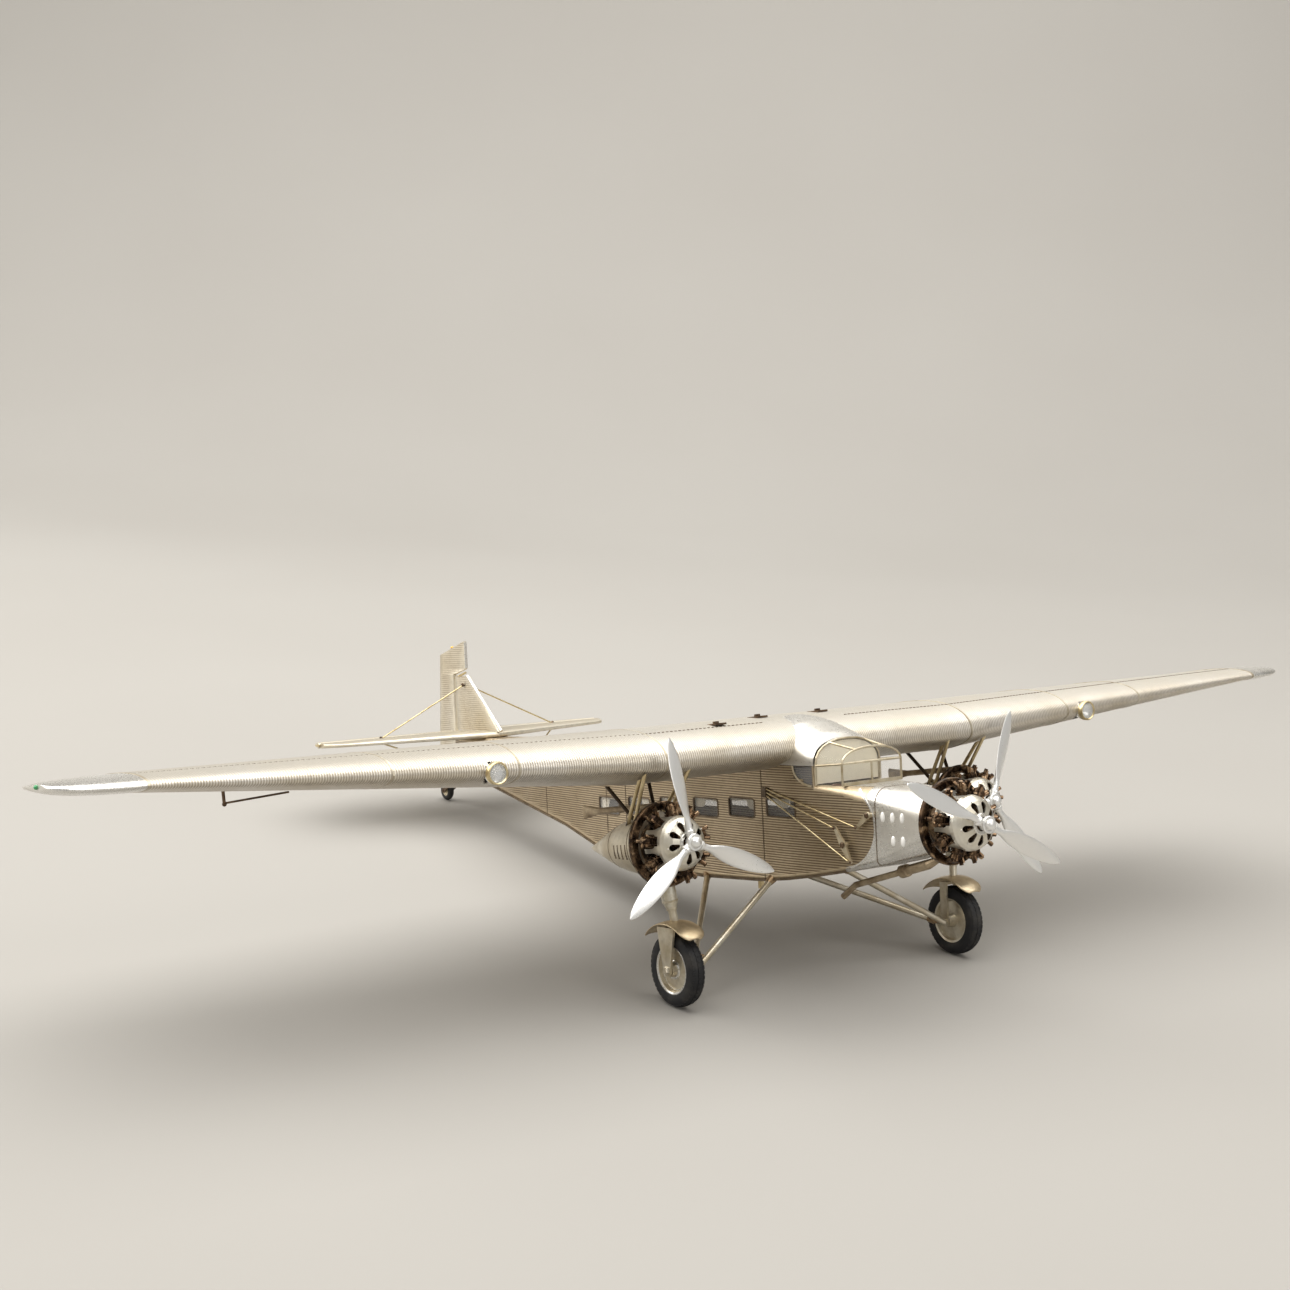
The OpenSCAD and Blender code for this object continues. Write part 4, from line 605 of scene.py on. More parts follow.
def body_point(row, station, ahead=False):
    """Point, inward direction and groove depth where a row meets a station, never past the nose's edge"""
    kind = row[0]
    wall = kind in ("left", "right")
    for _ in range(2):
        half, top, low, r_top, r_low = body_at(station)
        if wall:
            z = min(max(row[1], low + r_low), top - r_top)
        elif kind == "corner":
            z = top - r_top if row[1] > 0 else low + r_low
        else:
            z = top if kind == "deck" else low
        limit = nose_edge(z)
        station = min(station, limit) if ahead else max(station, limit + 0.1)
    half, top, low, r_top, r_low = body_at(station)
    if wall:
        hand = 1 if kind == "left" else -1
        inside = low + r_low + 0.3 < row[1] < top - r_top - 0.3
        z = min(max(row[1], low + r_low), top - r_top)
        return Vector((-station, hand * half, z)), Vector((0, -hand, 0)), groove(row[1]) * inside
    if kind == "corner":
        _, high, hand, angle = row
        r = r_top if high > 0 else r_low
        a = math.radians(angle)
        out = Vector((0, hand * math.cos(a), high * math.sin(a)))
        centre = Vector((-station, hand * (half - r), top - r if high > 0 else low + r))
        return centre + r * out, -out, 0
    z, r, inward = (top, r_top, -1) if kind == "deck" else (low, r_low, 1)
    reach = half - r
    y = min(max(row[1], -reach), reach)
    return Vector((-station, y, z)), Vector((0, 0, inward)), groove(row[1]) * (abs(row[1]) < reach - 0.3)


def body_sheet(stations, rows, ahead, depth):
    bm = bmesh.new()
    pressed = bm.verts.layers.float.new("groove")
    for vert, i, j in placed_grid(bm, len(stations) - 1, len(rows)):
        point, inward, share = body_point(rows[j], stations[i], ahead)
        vert.co = point + inward * depth * share
        vert[pressed] = share
    bmesh.ops.remove_doubles(bm, verts=bm.verts, dist=MERGED)
    return bm


def in_window(station, z, edge=0.25):
    for rear, top in WINDOWS:
        if rear - WINDOW_L + edge < station < rear - edge and top - WINDOW_H + edge < z < top - edge:
            return True
    return False


def cabin_opening(centre):
    """The cockpit, the quarter windows, the cabin windows, and what the wing and the canopy cover"""
    station = -centre.x
    half = body_at(station)[0]
    on_side = abs(centre.y) > half - 0.6
    cockpit = 73.7 < station < 90.4 and abs(centre.y) < COCKPIT_HALF and centre.z > 0
    past = station - QUARTER_X
    quarter = on_side and past > 0 and (past / QUARTER_L) ** 2 + ((centre.z - 23.5) / QUARTER_H) ** 2 < 1
    under_wing = centre.z > 26 and 112 < station < 222 and not on_side
    step_wall = 90.6 < station < 92 and centre.z > 14.6 and abs(centre.y) < half - 1.2
    return cockpit or quarter or under_wing or step_wall or on_side and in_window(station, centre.z)


body_skin = aged_metal(
    "body_skin", (0.63, 0.52, 0.36), (0.48, 0.385, 0.25), 0.36, (0.09, 0.055, 0.03, 0.95), metallic=0.82
)
stations = columns(54, 73.5, 1.2) + columns(74.6, 90.5, 4) + [91, 92, 98, 104.2]
for rear, _ in WINDOWS:
    stations += [rear - 19.6, rear - 18.5, rear - 10, rear - 1.5, rear - 0.4, rear + 4.4]
stations += [277, 284, 292, 300, 309, 322, 338, 354, 370, 384, 396, 406, 416, 426, 436, 443, 447, 450.4]
stations = sorted(set(stations + [110, 130, 178, 228, 266]))
bm = body_sheet(stations, body_rows(STEP, STEP, 4), False, DEPTH)
cut(bm, cabin_opening)
add_piece("cabin_skin", bm, body_skin, ["cabin_shell"], 60)

# The nose: smooth polished sheet from the engine back to the half ellipse, with raised cooling
# louvres on both sides and a lap seam round its middle.
stations = columns(24, 54, 3) + columns(55.5, 73.5, 1.5)
bm = body_sheet(stations, body_rows(2.2, 3.2, 9), True, 0)
front = [edge for edge in bm.edges if edge.is_boundary and all(v.co.x > -24.5 for v in edge.verts)]
inner = verts_of(bmesh.ops.extrude_edge_only(bm, edges=front)["geom"])
bmesh.ops.scale(bm, vec=(1, 0.72, 0.72), verts=inner)
bmesh.ops.translate(bm, vec=(-0.2, 0, 0), verts=inner)
cut(bm, lambda centre: centre.x < -73.2 and abs(centre.y) < COCKPIT_HALF and centre.z > 13)
add_piece("nose_skin", bm, bright_skin, ["nose_shell"], 40)


def on_body(bm, before, side, lift=0.0):
    """Lays what was drawn flat since before, as (station, height, distance off), on the fuselage's side"""
    for vert in set(bm.verts) - before:
        station, z, off = vert.co
        half, top, low, r_top, r_low = body_at(station)
        near_top = max(0.0, z - (top - r_top))
        half -= r_top - math.sqrt(max(0.0, r_top**2 - min(near_top, r_top) ** 2))
        vert.co = Vector((-station, side * (half + off + lift), z))


def thicken(bm, faces, thick):
    """Makes flat faces a plate"""
    grown = bmesh.ops.extrude_face_region(bm, geom=faces)["geom"]
    bmesh.ops.translate(bm, vec=(0, 0, thick), verts=verts_of(grown))


def rounded_plate(bm, low, high, radius, thick, ring=0.0):
    """A flat plate, or a frame of this width, between two corners, with round corners"""
    before = set(bm.faces)
    made = grid(bm, 1, 1)
    bmesh.ops.scale(bm, vec=(high[0] - low[0], high[1] - low[1], 1), verts=made)
    bmesh.ops.translate(bm, vec=((low[0] + high[0]) / 2, (low[1] + high[1]) / 2, 0), verts=made)
    bmesh.ops.bevel(bm, geom=made, offset=radius, affect="VERTICES", segments=5, profile=0.5, material=-1)
    faces = list(set(bm.faces) - before)
    if ring:
        inner = faces
        faces = bmesh.ops.inset_individual(bm, faces=inner, thickness=ring)["faces"]
        bmesh.ops.delete(bm, geom=inner, context="FACES_ONLY")
    thicken(bm, faces, thick)


bm = bmesh.new()
for side in (1, -1):
    for first, count, z in ((48.8, 3, 1.8), (43.0, 2, -8.8)):
        for k in range(count):
            station = first - 5.8 * k
            before = set(bm.verts)
            made = bmesh.ops.create_uvsphere(bm, u_segments=20, v_segments=10, radius=1)["verts"]
            bmesh.ops.scale(bm, vec=(1.2, 2.4, 0.8), verts=made)
            flat = [v for v in made if v.co.z < 0]
            bmesh.ops.scale(bm, vec=(1, 1, 0.3), verts=flat)
            bmesh.ops.translate(bm, vec=(station, z, 0), verts=made)
            on_body(bm, before, side)
# The louvres are near white and barely metallic: painted highlights, so they look bright as if catching the
# light
louvre_painted_highlight = aged_metal("louvre_painted_highlight", (0.96, 0.95, 0.92), (0.90, 0.88, 0.84), 0.4, metallic=0.15, dirt=0)
add_piece("louvres", bm, louvre_painted_highlight)


def body_band(bm, station, width, lift):
    """A narrow band round the fuselage's whole section"""
    rings = []
    for step, off in ((-0.5, 0), (-0.5, lift), (0.5, lift), (0.5, 0)):
        place = station + step * width
        points = [body_point(row, place, place < 73)[:2] for row in body_rows(6, 12, 6)]
        rings.append([Vector((-place, point.y, point.z)) - inward * off for point, inward in points])
    loft(bm, rings)


bm = bmesh.new()
body_band(bm, 53.2, 0.5, 0.12)
for station in (127.5, 243.5, 262.5, 330, 396):
    body_band(bm, station, 0.4, 0.1)
add_piece("body_seams", bm, seam_metal)
bm = bmesh.new()
body_band(bm, 25.2, 1.6, 0.25)
add_piece("nose_band", bm, strap_metal)

# Edges of the fuselage: the bright strip along the nose's edge and the dark angle along the belly,
# both laid over the ends of the ribbed walls.
def laid_arc(bm, side, centre, radii, angles, turn, profile):
    """Short lengths of strip along an arc on the fuselage's side, one from each angle on by this turn,
    with this profile of (growth of the radii, height)"""
    before = set(bm.verts)
    for angle in angles:
        rings = []
        for a in (math.radians(angle), math.radians(angle + turn)):
            ring = []
            for grow, off in profile:
                station = centre[0] + (radii[0] + grow) * math.cos(a)
                ring.append(Vector((station, centre[1] + (radii[1] + grow) * math.sin(a), off)))
            rings.append(ring)
        loft(bm, rings, closed=False)
    on_body(bm, before, side)


bm = bmesh.new()
for side in (1, -1):
    profile = ((0, 0), (0.1, 0.2), (0.9, 0.2), (1, 0))
    laid_arc(bm, side, (76, -3.5), (21.6, 19.3), range(254, 120, -3), -3.2, profile)
add_piece("nose_edge", bm, bright_skin)
bm = bmesh.new()
for side in (1, -1):
    for front, rear in zip(BODY[3:], BODY[4:]):
        for k in range(6):
            path = mixed(front, rear, k / 6), mixed(front, rear, (k + 1.05) / 6)
            ends = [
                Vector((-station, side * (half - 0.35), low + 0.35)) for station, half, _, low, *_ in path
            ]
            strap(bm, ends, Vector((0, 0.62, 0)), lambda p: Vector((0, 0, 1)), 0.5)
add_piece("belly_angle", bm, seam_metal)

# Cabin windows: smoked panes behind thin dark frames with round corners, and behind each pane a
# pair of curtains, thin metal pressed in folds and painted cream.
smoked, shader, place = start_material("smoked_pane", Roughness=0.3, IOR=1.45, Coat_Weight=0.15)
feed(shader, "Base Color", place.noise(0.05).mix((0.44, 0.42, 0.40), (0.50, 0.48, 0.455)))
feed(shader, "Alpha", place.noise(0.02).ramp(0.2, 0.8, 0.19, 0.22))
canopy_pane, shader, place = start_material("canopy_pane", Roughness=0.08, IOR=1.45, Coat_Weight=0.5)
feed(shader, "Base Color", place.noise(0.08).mix((0.62, 0.60, 0.54), (0.80, 0.79, 0.75)))
feed(shader, "Alpha", place.noise(0.02).ramp(0.2, 0.8, 0.08, 0.13))
bm = bmesh.new()
panes = bmesh.new()
for side in (1, -1):
    for rear, top in WINDOWS:
        front = rear - WINDOW_L
        sill = top - WINDOW_H
        before = set(bm.verts)
        rounded_plate(bm, (front - 0.45, sill - 0.45), (rear + 0.45, top + 0.45), 2.0, 0.75, 0.75)
        on_body(bm, before, side, -0.6)
        before = set(panes.verts)
        rounded_plate(panes, (front - 0.1, sill - 0.1), (rear + 0.1, top + 0.1), 1.7, 0.3)
        on_body(panes, before, side, -0.75)
add_piece("window_frames", bm, seam_metal)
curtain_paint, shader, place = start_material("curtain_paint", Roughness=0.7, Sheen_Weight=0.2)
weave = place.noise(1.2, 2, (3, 1, 0.3))
feed(shader, "Base Color", (place.noise(0.06) * 0.8).mix((0.94, 0.88, 0.74), (0.84, 0.77, 0.62)))
feed(shader, "Normal", weave.bump(0.4, 0.00008))
# Where the lowest part of each window's curtain hangs, from the rear edge forwards, and how low
DRAPES = ((0.52, 5.0), (0.85, 5.0), (0.2, 4.6), (0.3, 5.2), (0.8, 5.6), (0.2, 6.2))
cloth = bmesh.new()
for side in (1, -1):
    for (rear, top), (hang, drop) in zip(sorted(WINDOWS), DRAPES):
        before = set(cloth.verts)
        for vert in grid(cloth, 56, 8, 1):
            share = (vert.co.x + 1) / 2
            fall = (1 - vert.co.y) / 2
            middle = max(0.0, 1 - (abs(share - hang) / 0.24) ** 6)
            hem = -1.4 - (drop - 1.4) * middle - 0.3 * math.sin(8 * share)
            fold = 0.22 * math.sin(2 * math.pi * (11 * share + 0.15 * math.sin(9 * share)))
            depth = -1.35 + fold * (1 - 0.4 * fall)
            station = rear + 0.6 - (WINDOW_L + 1.2) * share
            vert.co = Vector((station, top + 0.4 + fall * (hem - 0.4), depth))
        on_body(cloth, before, side)
add_piece("curtain_sheets", cloth, curtain_paint, ["curtains"])

# The cockpit's canopy: two bent hoops and straight rails of drawn strip that hold flat panes at the
# front and sides, and a curved clear sheet over the pilots' heads.
SCREEN = (73.5, 18.25, 25.0, 31.9, 2.1)  # station, half width, foot, top and roundness
HOOP = (90.35, 20.05, 23.5, 35.3, 2.3)


def arch_point(hoop, share, inset=0.0):
    """A point of a hoop, from its left foot at share 0 to its right foot at 1"""
    station, half, low, high, power = hoop
    a = math.pi * share
    y = (half - inset) * math.copysign(abs(math.cos(a)) ** (2 / power), math.cos(a))
    return Vector((-station, y, low + (high - inset - low) * math.sin(a) ** (2 / power)))


bm = bmesh.new()
for vert in grid(bm, 48, 8):
    share = vert.co.x + 0.5
    vert.co = mix(arch_point(SCREEN, share, 0.5), arch_point(HOOP, share, 0.5), vert.co.y + 0.5)
for side in (1, -1):
    front = [Vector((-73.8, side * 17.9, z)) for z in (14.8, 24.8)]
    rear = [Vector((-90, side * 19.6, z)) for z in (14.6, 23.4)]
    loft(bm, [front, rear], closed=False)
    loft(bm, [[Vector((-73.5, side * y, z)) for z in (16, 24.7)] for y in (0.4, 17.8)], closed=False)
over = [arch_point(SCREEN, k / 24, 0.4) for k in range(25)]
loft(bm, [[Vector((-73.5, point.y, 25.2)), point] for point in over], closed=False)
add_piece("canopy_panes", bm, canopy_pane, out=False)
bm = bmesh.new()
for vert in grid(bm, 48, 2):
    top = arch_point(HOOP, vert.co.x + 0.5, 0.9)
    vert.co = Vector((-90.9, top.y, mix(14.9, top.z, vert.co.y + 0.5)))
lining = aged_metal("cockpit_lining", (0.88, 0.82, 0.66), (0.76, 0.68, 0.50), 0.55, metallic=0.05, dirt=0.1)
add_piece("cockpit_rear_lining", bm, lining, out=False)
for side in (1, -1):
    before = set(panes.verts)
    corner = Vector((92.6, 23.2, 0))
    arc = [math.radians(a) for a in range(0, 91, 9)]
    rim = [corner + Vector((12 * math.cos(a), -9 * math.sin(a), 0)) for a in arc]
    thicken(panes, loft(panes, [[corner] * len(rim), rim], closed=False), 0.3)
    panes.verts.index_update()
    on_body(panes, before, side, -0.7)
add_piece("window_panes", panes, smoked, ["glazing"])
bm = bmesh.new()
for side in (1, -1):
    profile = ((-0.5, 0), (-0.5, 0.3), (0.5, 0.3), (0.5, 0))
    laid_arc(bm, side, (QUARTER_X, 23.3), (QUARTER_L, QUARTER_H), range(0, -90, -6), -6.3, profile)
add_piece("quarter_window_edge", bm, frame_metal)
dress(frame_metal, "canopy_frame")

# Inside the cockpit: a cream bulkhead and floor, a black panel with dials and control columns, and
# two seats with round backs, bent from sheet and painted dark brown.
cabin_paint = aged_metal("cabin_paint", (0.66, 0.60, 0.47), (0.50, 0.44, 0.33), 0.5, metallic=0.3)
dress(cabin_paint, "cabin_floor", "wing_spar")
panel_black, shader, place = start_material("panel_black", Roughness=0.45, Specular_IOR_Level=0.4)
feed(shader, "Base Color", place.noise(0.5).ramp(0.3, 0.8).mix((0.02, 0.02, 0.02), (0.06, 0.055, 0.05)))
dress(panel_black, "instrument_panel")
seat_paint, shader, place = start_material("seat_paint", Roughness=0.42, Coat_Weight=0.2)
feed(shader, "Base Color", place.noise(0.3).ramp(0.3, 0.7).mix((0.13, 0.06, 0.035), (0.23, 0.12, 0.07)))
feed(shader, "Normal", place.noise(1.5).bump(0.3, 0.00006))
SEAT_X = -90.3  # the back of the seats
SEAT_Y = 8.5
SEAT_HALF = 4.9
bm = bmesh.new()
for side in (1, -1):
    before = set(bm.verts)
    rounded_plate(bm, (SEAT_Y - SEAT_HALF, -1), (SEAT_Y + SEAT_HALF, 14.2), 4.2, 1.5)
    for vert in set(bm.verts) - before:
        y, up, ahead = vert.co
        vert.co = Vector((SEAT_X + ahead + 0.012 * (y - SEAT_Y) ** 2, side * y, up))
    before = set(bm.verts)
    rounded_plate(bm, (SEAT_Y - SEAT_HALF, 0), (SEAT_Y + SEAT_HALF, 8.8), 1.2, 6.5)
    for vert in set(bm.verts) - before:
        y, ahead, up = vert.co
        vert.co = Vector((SEAT_X + ahead, side * y, -6.6 + up + 0.02 * (y - SEAT_Y) ** 2))
add_piece("pilot_seat_shells", bm, seat_paint, ["pilot_seats"])

# The roof fairing: one smooth bright sheet that carries the canopy's rear hoop back on to the wing.
ROOF = (  # station, half width and top
    (92.2, 20.6, 35.3), (98, 21.8, 37.9), (104, 22.6, 39.8),
    (114, 23.6, 43), (122, 22.5, 44.7), (128.5, 19.7917, 45.35),
)
bm = bmesh.new()
for vert in grid(bm, 40, 30):
    station = mix(91.2, 128.5, vert.co.y + 0.5)
    half, top = table_at(ROOF, station)
    vert.co = arch_point((station, half, 23.5, top, 2.6), vert.co.x + 0.5)
inner = [vert for vert in bm.verts if not vert.is_boundary]
bmesh.ops.smooth_vert(bm, verts=inner, factor=0.5, use_axis_x=True, use_axis_y=True, use_axis_z=True)
add_piece("roof_fairing_sheet", bm, bright_skin, ["roof_fairing"], out=False)


# The tail: fin and rudder of thin ribbed sheet with level grooves, tailplane and elevator with
# grooves along the flow, and a bright round leading edge on the fin and on the rudder's horn.
def blade_ring(front, rear, r_front, r_rear, thick_axis):
    """A flat section: half circle in front, straight faces, half circle behind, clockwise"""
    run = (rear - front).normalized()

    def arc(centre, radius, turns):
        angles = [math.pi * turn for turn in turns]
        return [(centre + radius * (math.cos(a) * run + math.sin(a) * thick_axis), 0.0) for a in angles]

    def flat(steps, face):
        points = []
        for t in [step / 7 for step in steps]:
            point = mix(front, rear, t) + face * mix(r_front, r_rear, t) * thick_axis
            points.append((point, min(1.0, 3 * t, 4 * (1 - t))))
        return points

    ring = arc(front, r_front, [0.5 + k / 6 for k in range(7)]) + flat(range(1, 7), -1)
    return ring + arc(rear, r_rear, [1.5, 2.0, 2.5]) + flat(range(6, 0, -1), 1)


TAIL_Z = 27.0
tail_skin = aged_metal("tail_skin", (0.84, 0.79, 0.68), (0.68, 0.61, 0.47), 0.36, (0.30, 0.22, 0.13, 0.7))
up_axis = Vector((0, 0, 1))
out_axis = Vector((0, 1, 0))
TAIL_HALF = 96.9
places = columns(-TAIL_HALF, TAIL_HALF, STEP)
rings = []
for y in places:
    reach = abs(y)
    t = reach / 94
    inner = min(1.0, t)
    edge = 403 + 27 * inner + 9 * max(0.0, (reach - 88) / 9) ** 2.5
    half = mix(1.7, 1.0, inner)
    front = Vector((-edge - half, y, TAIL_Z))
    rings.append(blade_ring(front, Vector((-443.1, y, TAIL_Z)), half, mix(1.7, 1.5, t), up_axis))
add_piece("tailplane_skin", ribbed_sheet(rings, places), tail_skin, ["tailplane"], 50)
HINGE_X = -447  # the elevator's axis
bm = bmesh.new()
for side in (1, -1):
    places = columns(7, 97, STEP)
    rings = []
    for y in places:
        rounding = min(1.0, (y - 7) / 6, (97 - y) / 9) ** 0.7
        rear = Vector((0.4 - mix(448.2, mix(467, 466, (y - 7) / 90), rounding), side * y, TAIL_Z))
        rings.append(blade_ring(Vector((HINGE_X, side * y, TAIL_Z)), rear, 1.7, 0.4, up_axis))
    part = ribbed_sheet(rings, places)
    mesh = bpy.data.meshes.new("elevator_half")
    part.to_mesh(mesh)
    part.free()
    bm.from_mesh(mesh)
    bpy.data.meshes.remove(mesh)
spun(bm, [(-8, 0), (-8, 1.1), (8, 1.1), (8, 0)], (HINGE_X, 0, TAIL_Z), out_axis, 20)
add_piece("elevator_skin", bm, tail_skin, ["elevator"], 50, body="elevator_leaf")
places = columns(28.8, 61.2, STEP)
rings = []
for z in places:
    front = Vector((-mix(401, 437, (z - 26.8) / 36.2), 0, z))
    rings.append(blade_ring(front, Vector((-449.4, 0, min(z, 62.6))), 0.8, 1.2, out_axis))
add_piece("fin_skin", ribbed_sheet(rings, places), tail_skin, ["fin"], 50)
HORN_Z = 62.0  # above it the rudder reaches forwards over the fin
CROP_Z = 74  # above it the rudder's rear edge runs forwards
places = columns(9.2, 82.3, STEP)
rings = []
for z in places:
    reach = min(1.0, max(0.0, (z - HORN_Z) / 3.6))
    rear = mix(473.6, 467.5, (z - 9.6) / 64.4) if z <= CROP_Z else mix(467.5, 438.6, (z - CROP_Z) / 8.4)
    front = Vector((-mix(452.5, 437.6, reach), 0, z))
    r_rear = 0.4 if z < 77 else 0.5
    rings.append(blade_ring(front, Vector((-rear, 0, z)), mix(1.5, 0.7, reach), r_rear, out_axis))
bm = ribbed_sheet(rings, places)
add_piece("rudder_skin", bm, tail_skin, ["rudder"], 50, body="rudder_leaf")
dress(brass, "rudder_post", "tail_braces", "hinge_wires", "control_wires", "drain_pipe")


def rod(bm, start, end, radius, segments=16):
    """A round rod with closed ends"""
    start = Vector(start)
    end = Vector(end)
    length = (end - start).length
    spun(bm, [(0, 0), (0, radius), (length, radius), (length, 0)], start, end - start, segments)


bm = bmesh.new()
rod(bm, (-400.6, 0, 29.2), (-436.4, 0, 61.4), 0.95)
rod(bm, (-401.6, 0, 29.4), (-448, 0, 29.2), 0.6, 10)
add_piece("fin_leading_edge", bm, bright_skin)
bm = bmesh.new()
rod(bm, (-437.4, 0, 66.2), (-437.4, 0, 81.8), 0.9)
add_piece("horn_leading_edge", bm, bright_skin, body="rudder_leaf")
bm = bmesh.new()
for side in (1, -1):
    for spot in ((-438, 60 * side, 28.6), (-440, 1.6 * side, 56)):
        fitting = [(-0.6, 0), (-0.6, 1.0), (0.1, 1.0), (0.5, 0.7), (0.9, 0.7), (0.9, 0)]
        spun(bm, fitting, spot, (0, side, 1.2), 12)
add_piece("brace_fittings", bm, dark_bronze)

# Landing gear: satin steel legs in pitted shock sleeves, plates down both sides of each wheel,
# tan mudguards beaten from sheet, struts of tube to the belly, disc wheels and moulded tyres.
strut_metal = aged_metal("strut_metal", (0.66, 0.61, 0.50), (0.46, 0.39, 0.27), 0.34, patch=0.12)
sleeve_metal = aged_metal("sleeve_metal", (0.70, 0.67, 0.58), (0.52, 0.46, 0.34), 0.36, patch=0.35)
wheel_metal = aged_metal(
    "wheel_metal", (0.72, 0.67, 0.55), (0.50, 0.43, 0.31), 0.34, patch=0.15, metallic=0.75
)
guard_metal = aged_metal("guard_metal", (0.66, 0.55, 0.38), (0.46, 0.36, 0.22), 0.36, patch=0.09)
dress(strut_metal, "vee_struts", "lower_legs")
dress(sleeve_metal, "shock_sleeves")
dress(wheel_metal, "wheel_left", "wheel_right", "tail_wheel")
dress(dark_bronze, "tail_fork")
rubber, shader, place = start_material("tyre_rubber", Roughness=0.72, Specular_IOR_Level=0.35)
dust = place.noise(0.12, 5).ramp(0.45, 0.75)
feed(shader, "Base Color", dust.mix((0.014, 0.014, 0.015), (0.045, 0.041, 0.036)))
feed(shader, "Normal", place.noise(2.5, 4).bump(0.4, 0.00008))
dress(rubber, "tail_tyre")
AXLE = Vector((-114.5, 87.4, -65))
GUARD_R = 20.95
GUARD_HALF = 7
GUARD_ANGLES = (45, 139)
CROWN_TOP = 19.9


def around_axle(radius, angle, y, side):
    """A point at this radius and angle (degrees from forwards, upwards) round a main axle"""
    a = math.radians(angle)
    return Vector((AXLE.x + radius * math.cos(a), side * (AXLE.y + y), AXLE.z + radius * math.sin(a)))


TYRE = [(-3.6, 11.2), (-3.9, 12.0), (-4.0, 14.0), (-3.6, 15.6), (-2.9, 16.5), (-1.6, 16.9), (0, 17.0)]
TYRE += [(-along, radius) for along, radius in reversed(TYRE[:-1])]
RIMS = (
    ([(2.7, 10.0), (3.2, 10.2), (3.75, 10.9), (3.75, 11.4), (3.4, 11.6), (3.0, 11.3)], 96),
    ([(1.2, 8.9), (1.7, 9.1), (1.7, 9.4), (1.2, 9.5)], 96),
    ([(1.7, 4.6), (2.2, 4.5), (2.6, 3.9), (2.6, 3.3)], 48),
)
BLOCKS = 44  # blocks round the tread
for side, hand in HANDS:
    bm = bmesh.new()
    centre = Vector((AXLE.x, side * AXLE.y, AXLE.z))
    spun(bm, TYRE + [TYRE[0]], centre, (0, 1, 0), 96)
    for k in range(BLOCKS):
        for row, y, wide, radius in ((-1, -2.5, 1.3, 16.35), (0, 0, 1.5, 16.85), (1, 2.5, 1.3, 16.35)):
            turn = -math.tau / BLOCKS * (k + 0.5 * (row == 0))
            place = Matrix.Translation(centre) @ Matrix.Rotation(turn, 4, "Y")
            place = place @ Matrix.Translation((0, y, radius)) @ Matrix.Rotation(-0.42 * row, 4, "X")
            block(bm, (1.75, wide, 0.9), place)
    add_piece(
        f"tyre_tread_{hand}", bm, rubber, [f"tyre_{hand}"], 30, body=f"{hand}_roller"
    )
    bm = bmesh.new()
    for profile, segments in RIMS:
        spun(bm, profile, centre, (0, side, 0), segments)
    for k in range(6):
        spot = around_axle(4.15, 60 * k + 10, 0, side) + Vector((0, side * 2.4, 0))
        spun(bm, [(0, 0.45), (0.45, 0.4), (0.55, 0)], spot, (0, side, 0), 6)
    add_piece(f"wheel_rim_{hand}", bm, bright_skin, crease=30, body=f"{hand}_roller")
bm = bmesh.new()
for side in (1, -1):
    for vert in grid(bm, 48, 16, 1):
        share = (vert.co.x + 1) / 2
        w = vert.co.y
        front = max(0.0, 1 - share / 0.16)
        flare = max(0.0, (share - 0.72) / 0.28)
        wide = GUARD_HALF * math.sqrt(1 - 0.8 * front**2) * (1 - 0.2 * flare**2)
        radius = GUARD_R + 1.35 - 0.95 * abs(w) ** 2.4 + 0.7 * flare**2 - 0.3 * front**2
        vert.co = around_axle(radius, mix(*GUARD_ANGLES, share), wide * w, side)
guard = add_piece("mudguard_sheets", bm, guard_metal, ["mudguards"], out=False)
wall = guard.modifiers.new("sheet", "SOLIDIFY")
wall.thickness = 0.45 * MM
wall.offset = 0
bm = bmesh.new()
for side in (1, -1):
    top = Vector((-117.8, side * 91, -17.2))
    foot = Vector((AXLE.x, side * AXLE.y, AXLE.z + CROWN_TOP))
    leg = (top - foot).normalized()
    spun(bm, [(7.6, 2.0), (7.6, 2.5), (8.1, 2.6), (8.3, 2.4)], foot, leg, 32)
    spun(bm, [(11.3, 3.6), (11.5, 3.85), (12.2, 3.85), (12.4, 3.6)], foot, leg, 32)
    nut = [(0, 0), (0, 2.3), (0.5, 2.3), (0.9, 1.7), (1.5, 1.5), (1.5, 0)]
    spun(bm, nut, (AXLE.x, side * 93.5, AXLE.z), (0, side, 0), 6)
add_piece("leg_collars", bm, strut_metal, crease=30)
socket_metal = aged_metal("socket_metal", (0.42, 0.30, 0.18), (0.26, 0.17, 0.09), 0.4, patch=0.2)
bm = bmesh.new()
for side in (1, -1):
    foot = Vector((AXLE.x, side * 77.4, AXLE.z))
    for station, half, low in ((124, 23.29, -32.74), (177, 23.5, -35.26)):
        belly = Vector((-station, side * (half - 3), low + 2))
        run = (foot - belly).normalized()
        spun(bm, [(1.0, 0), (1.0, 2.4), (4.2, 2.0), (6.0, 1.65), (6.0, 1.4)], belly, run, 24)
        spun(bm, [(3.0, 0), (3.0, 2.2), (6.5, 1.9), (7.0, 1.4)], foot, -run, 24)
add_piece("strut_sockets", bm, socket_metal, crease=40)

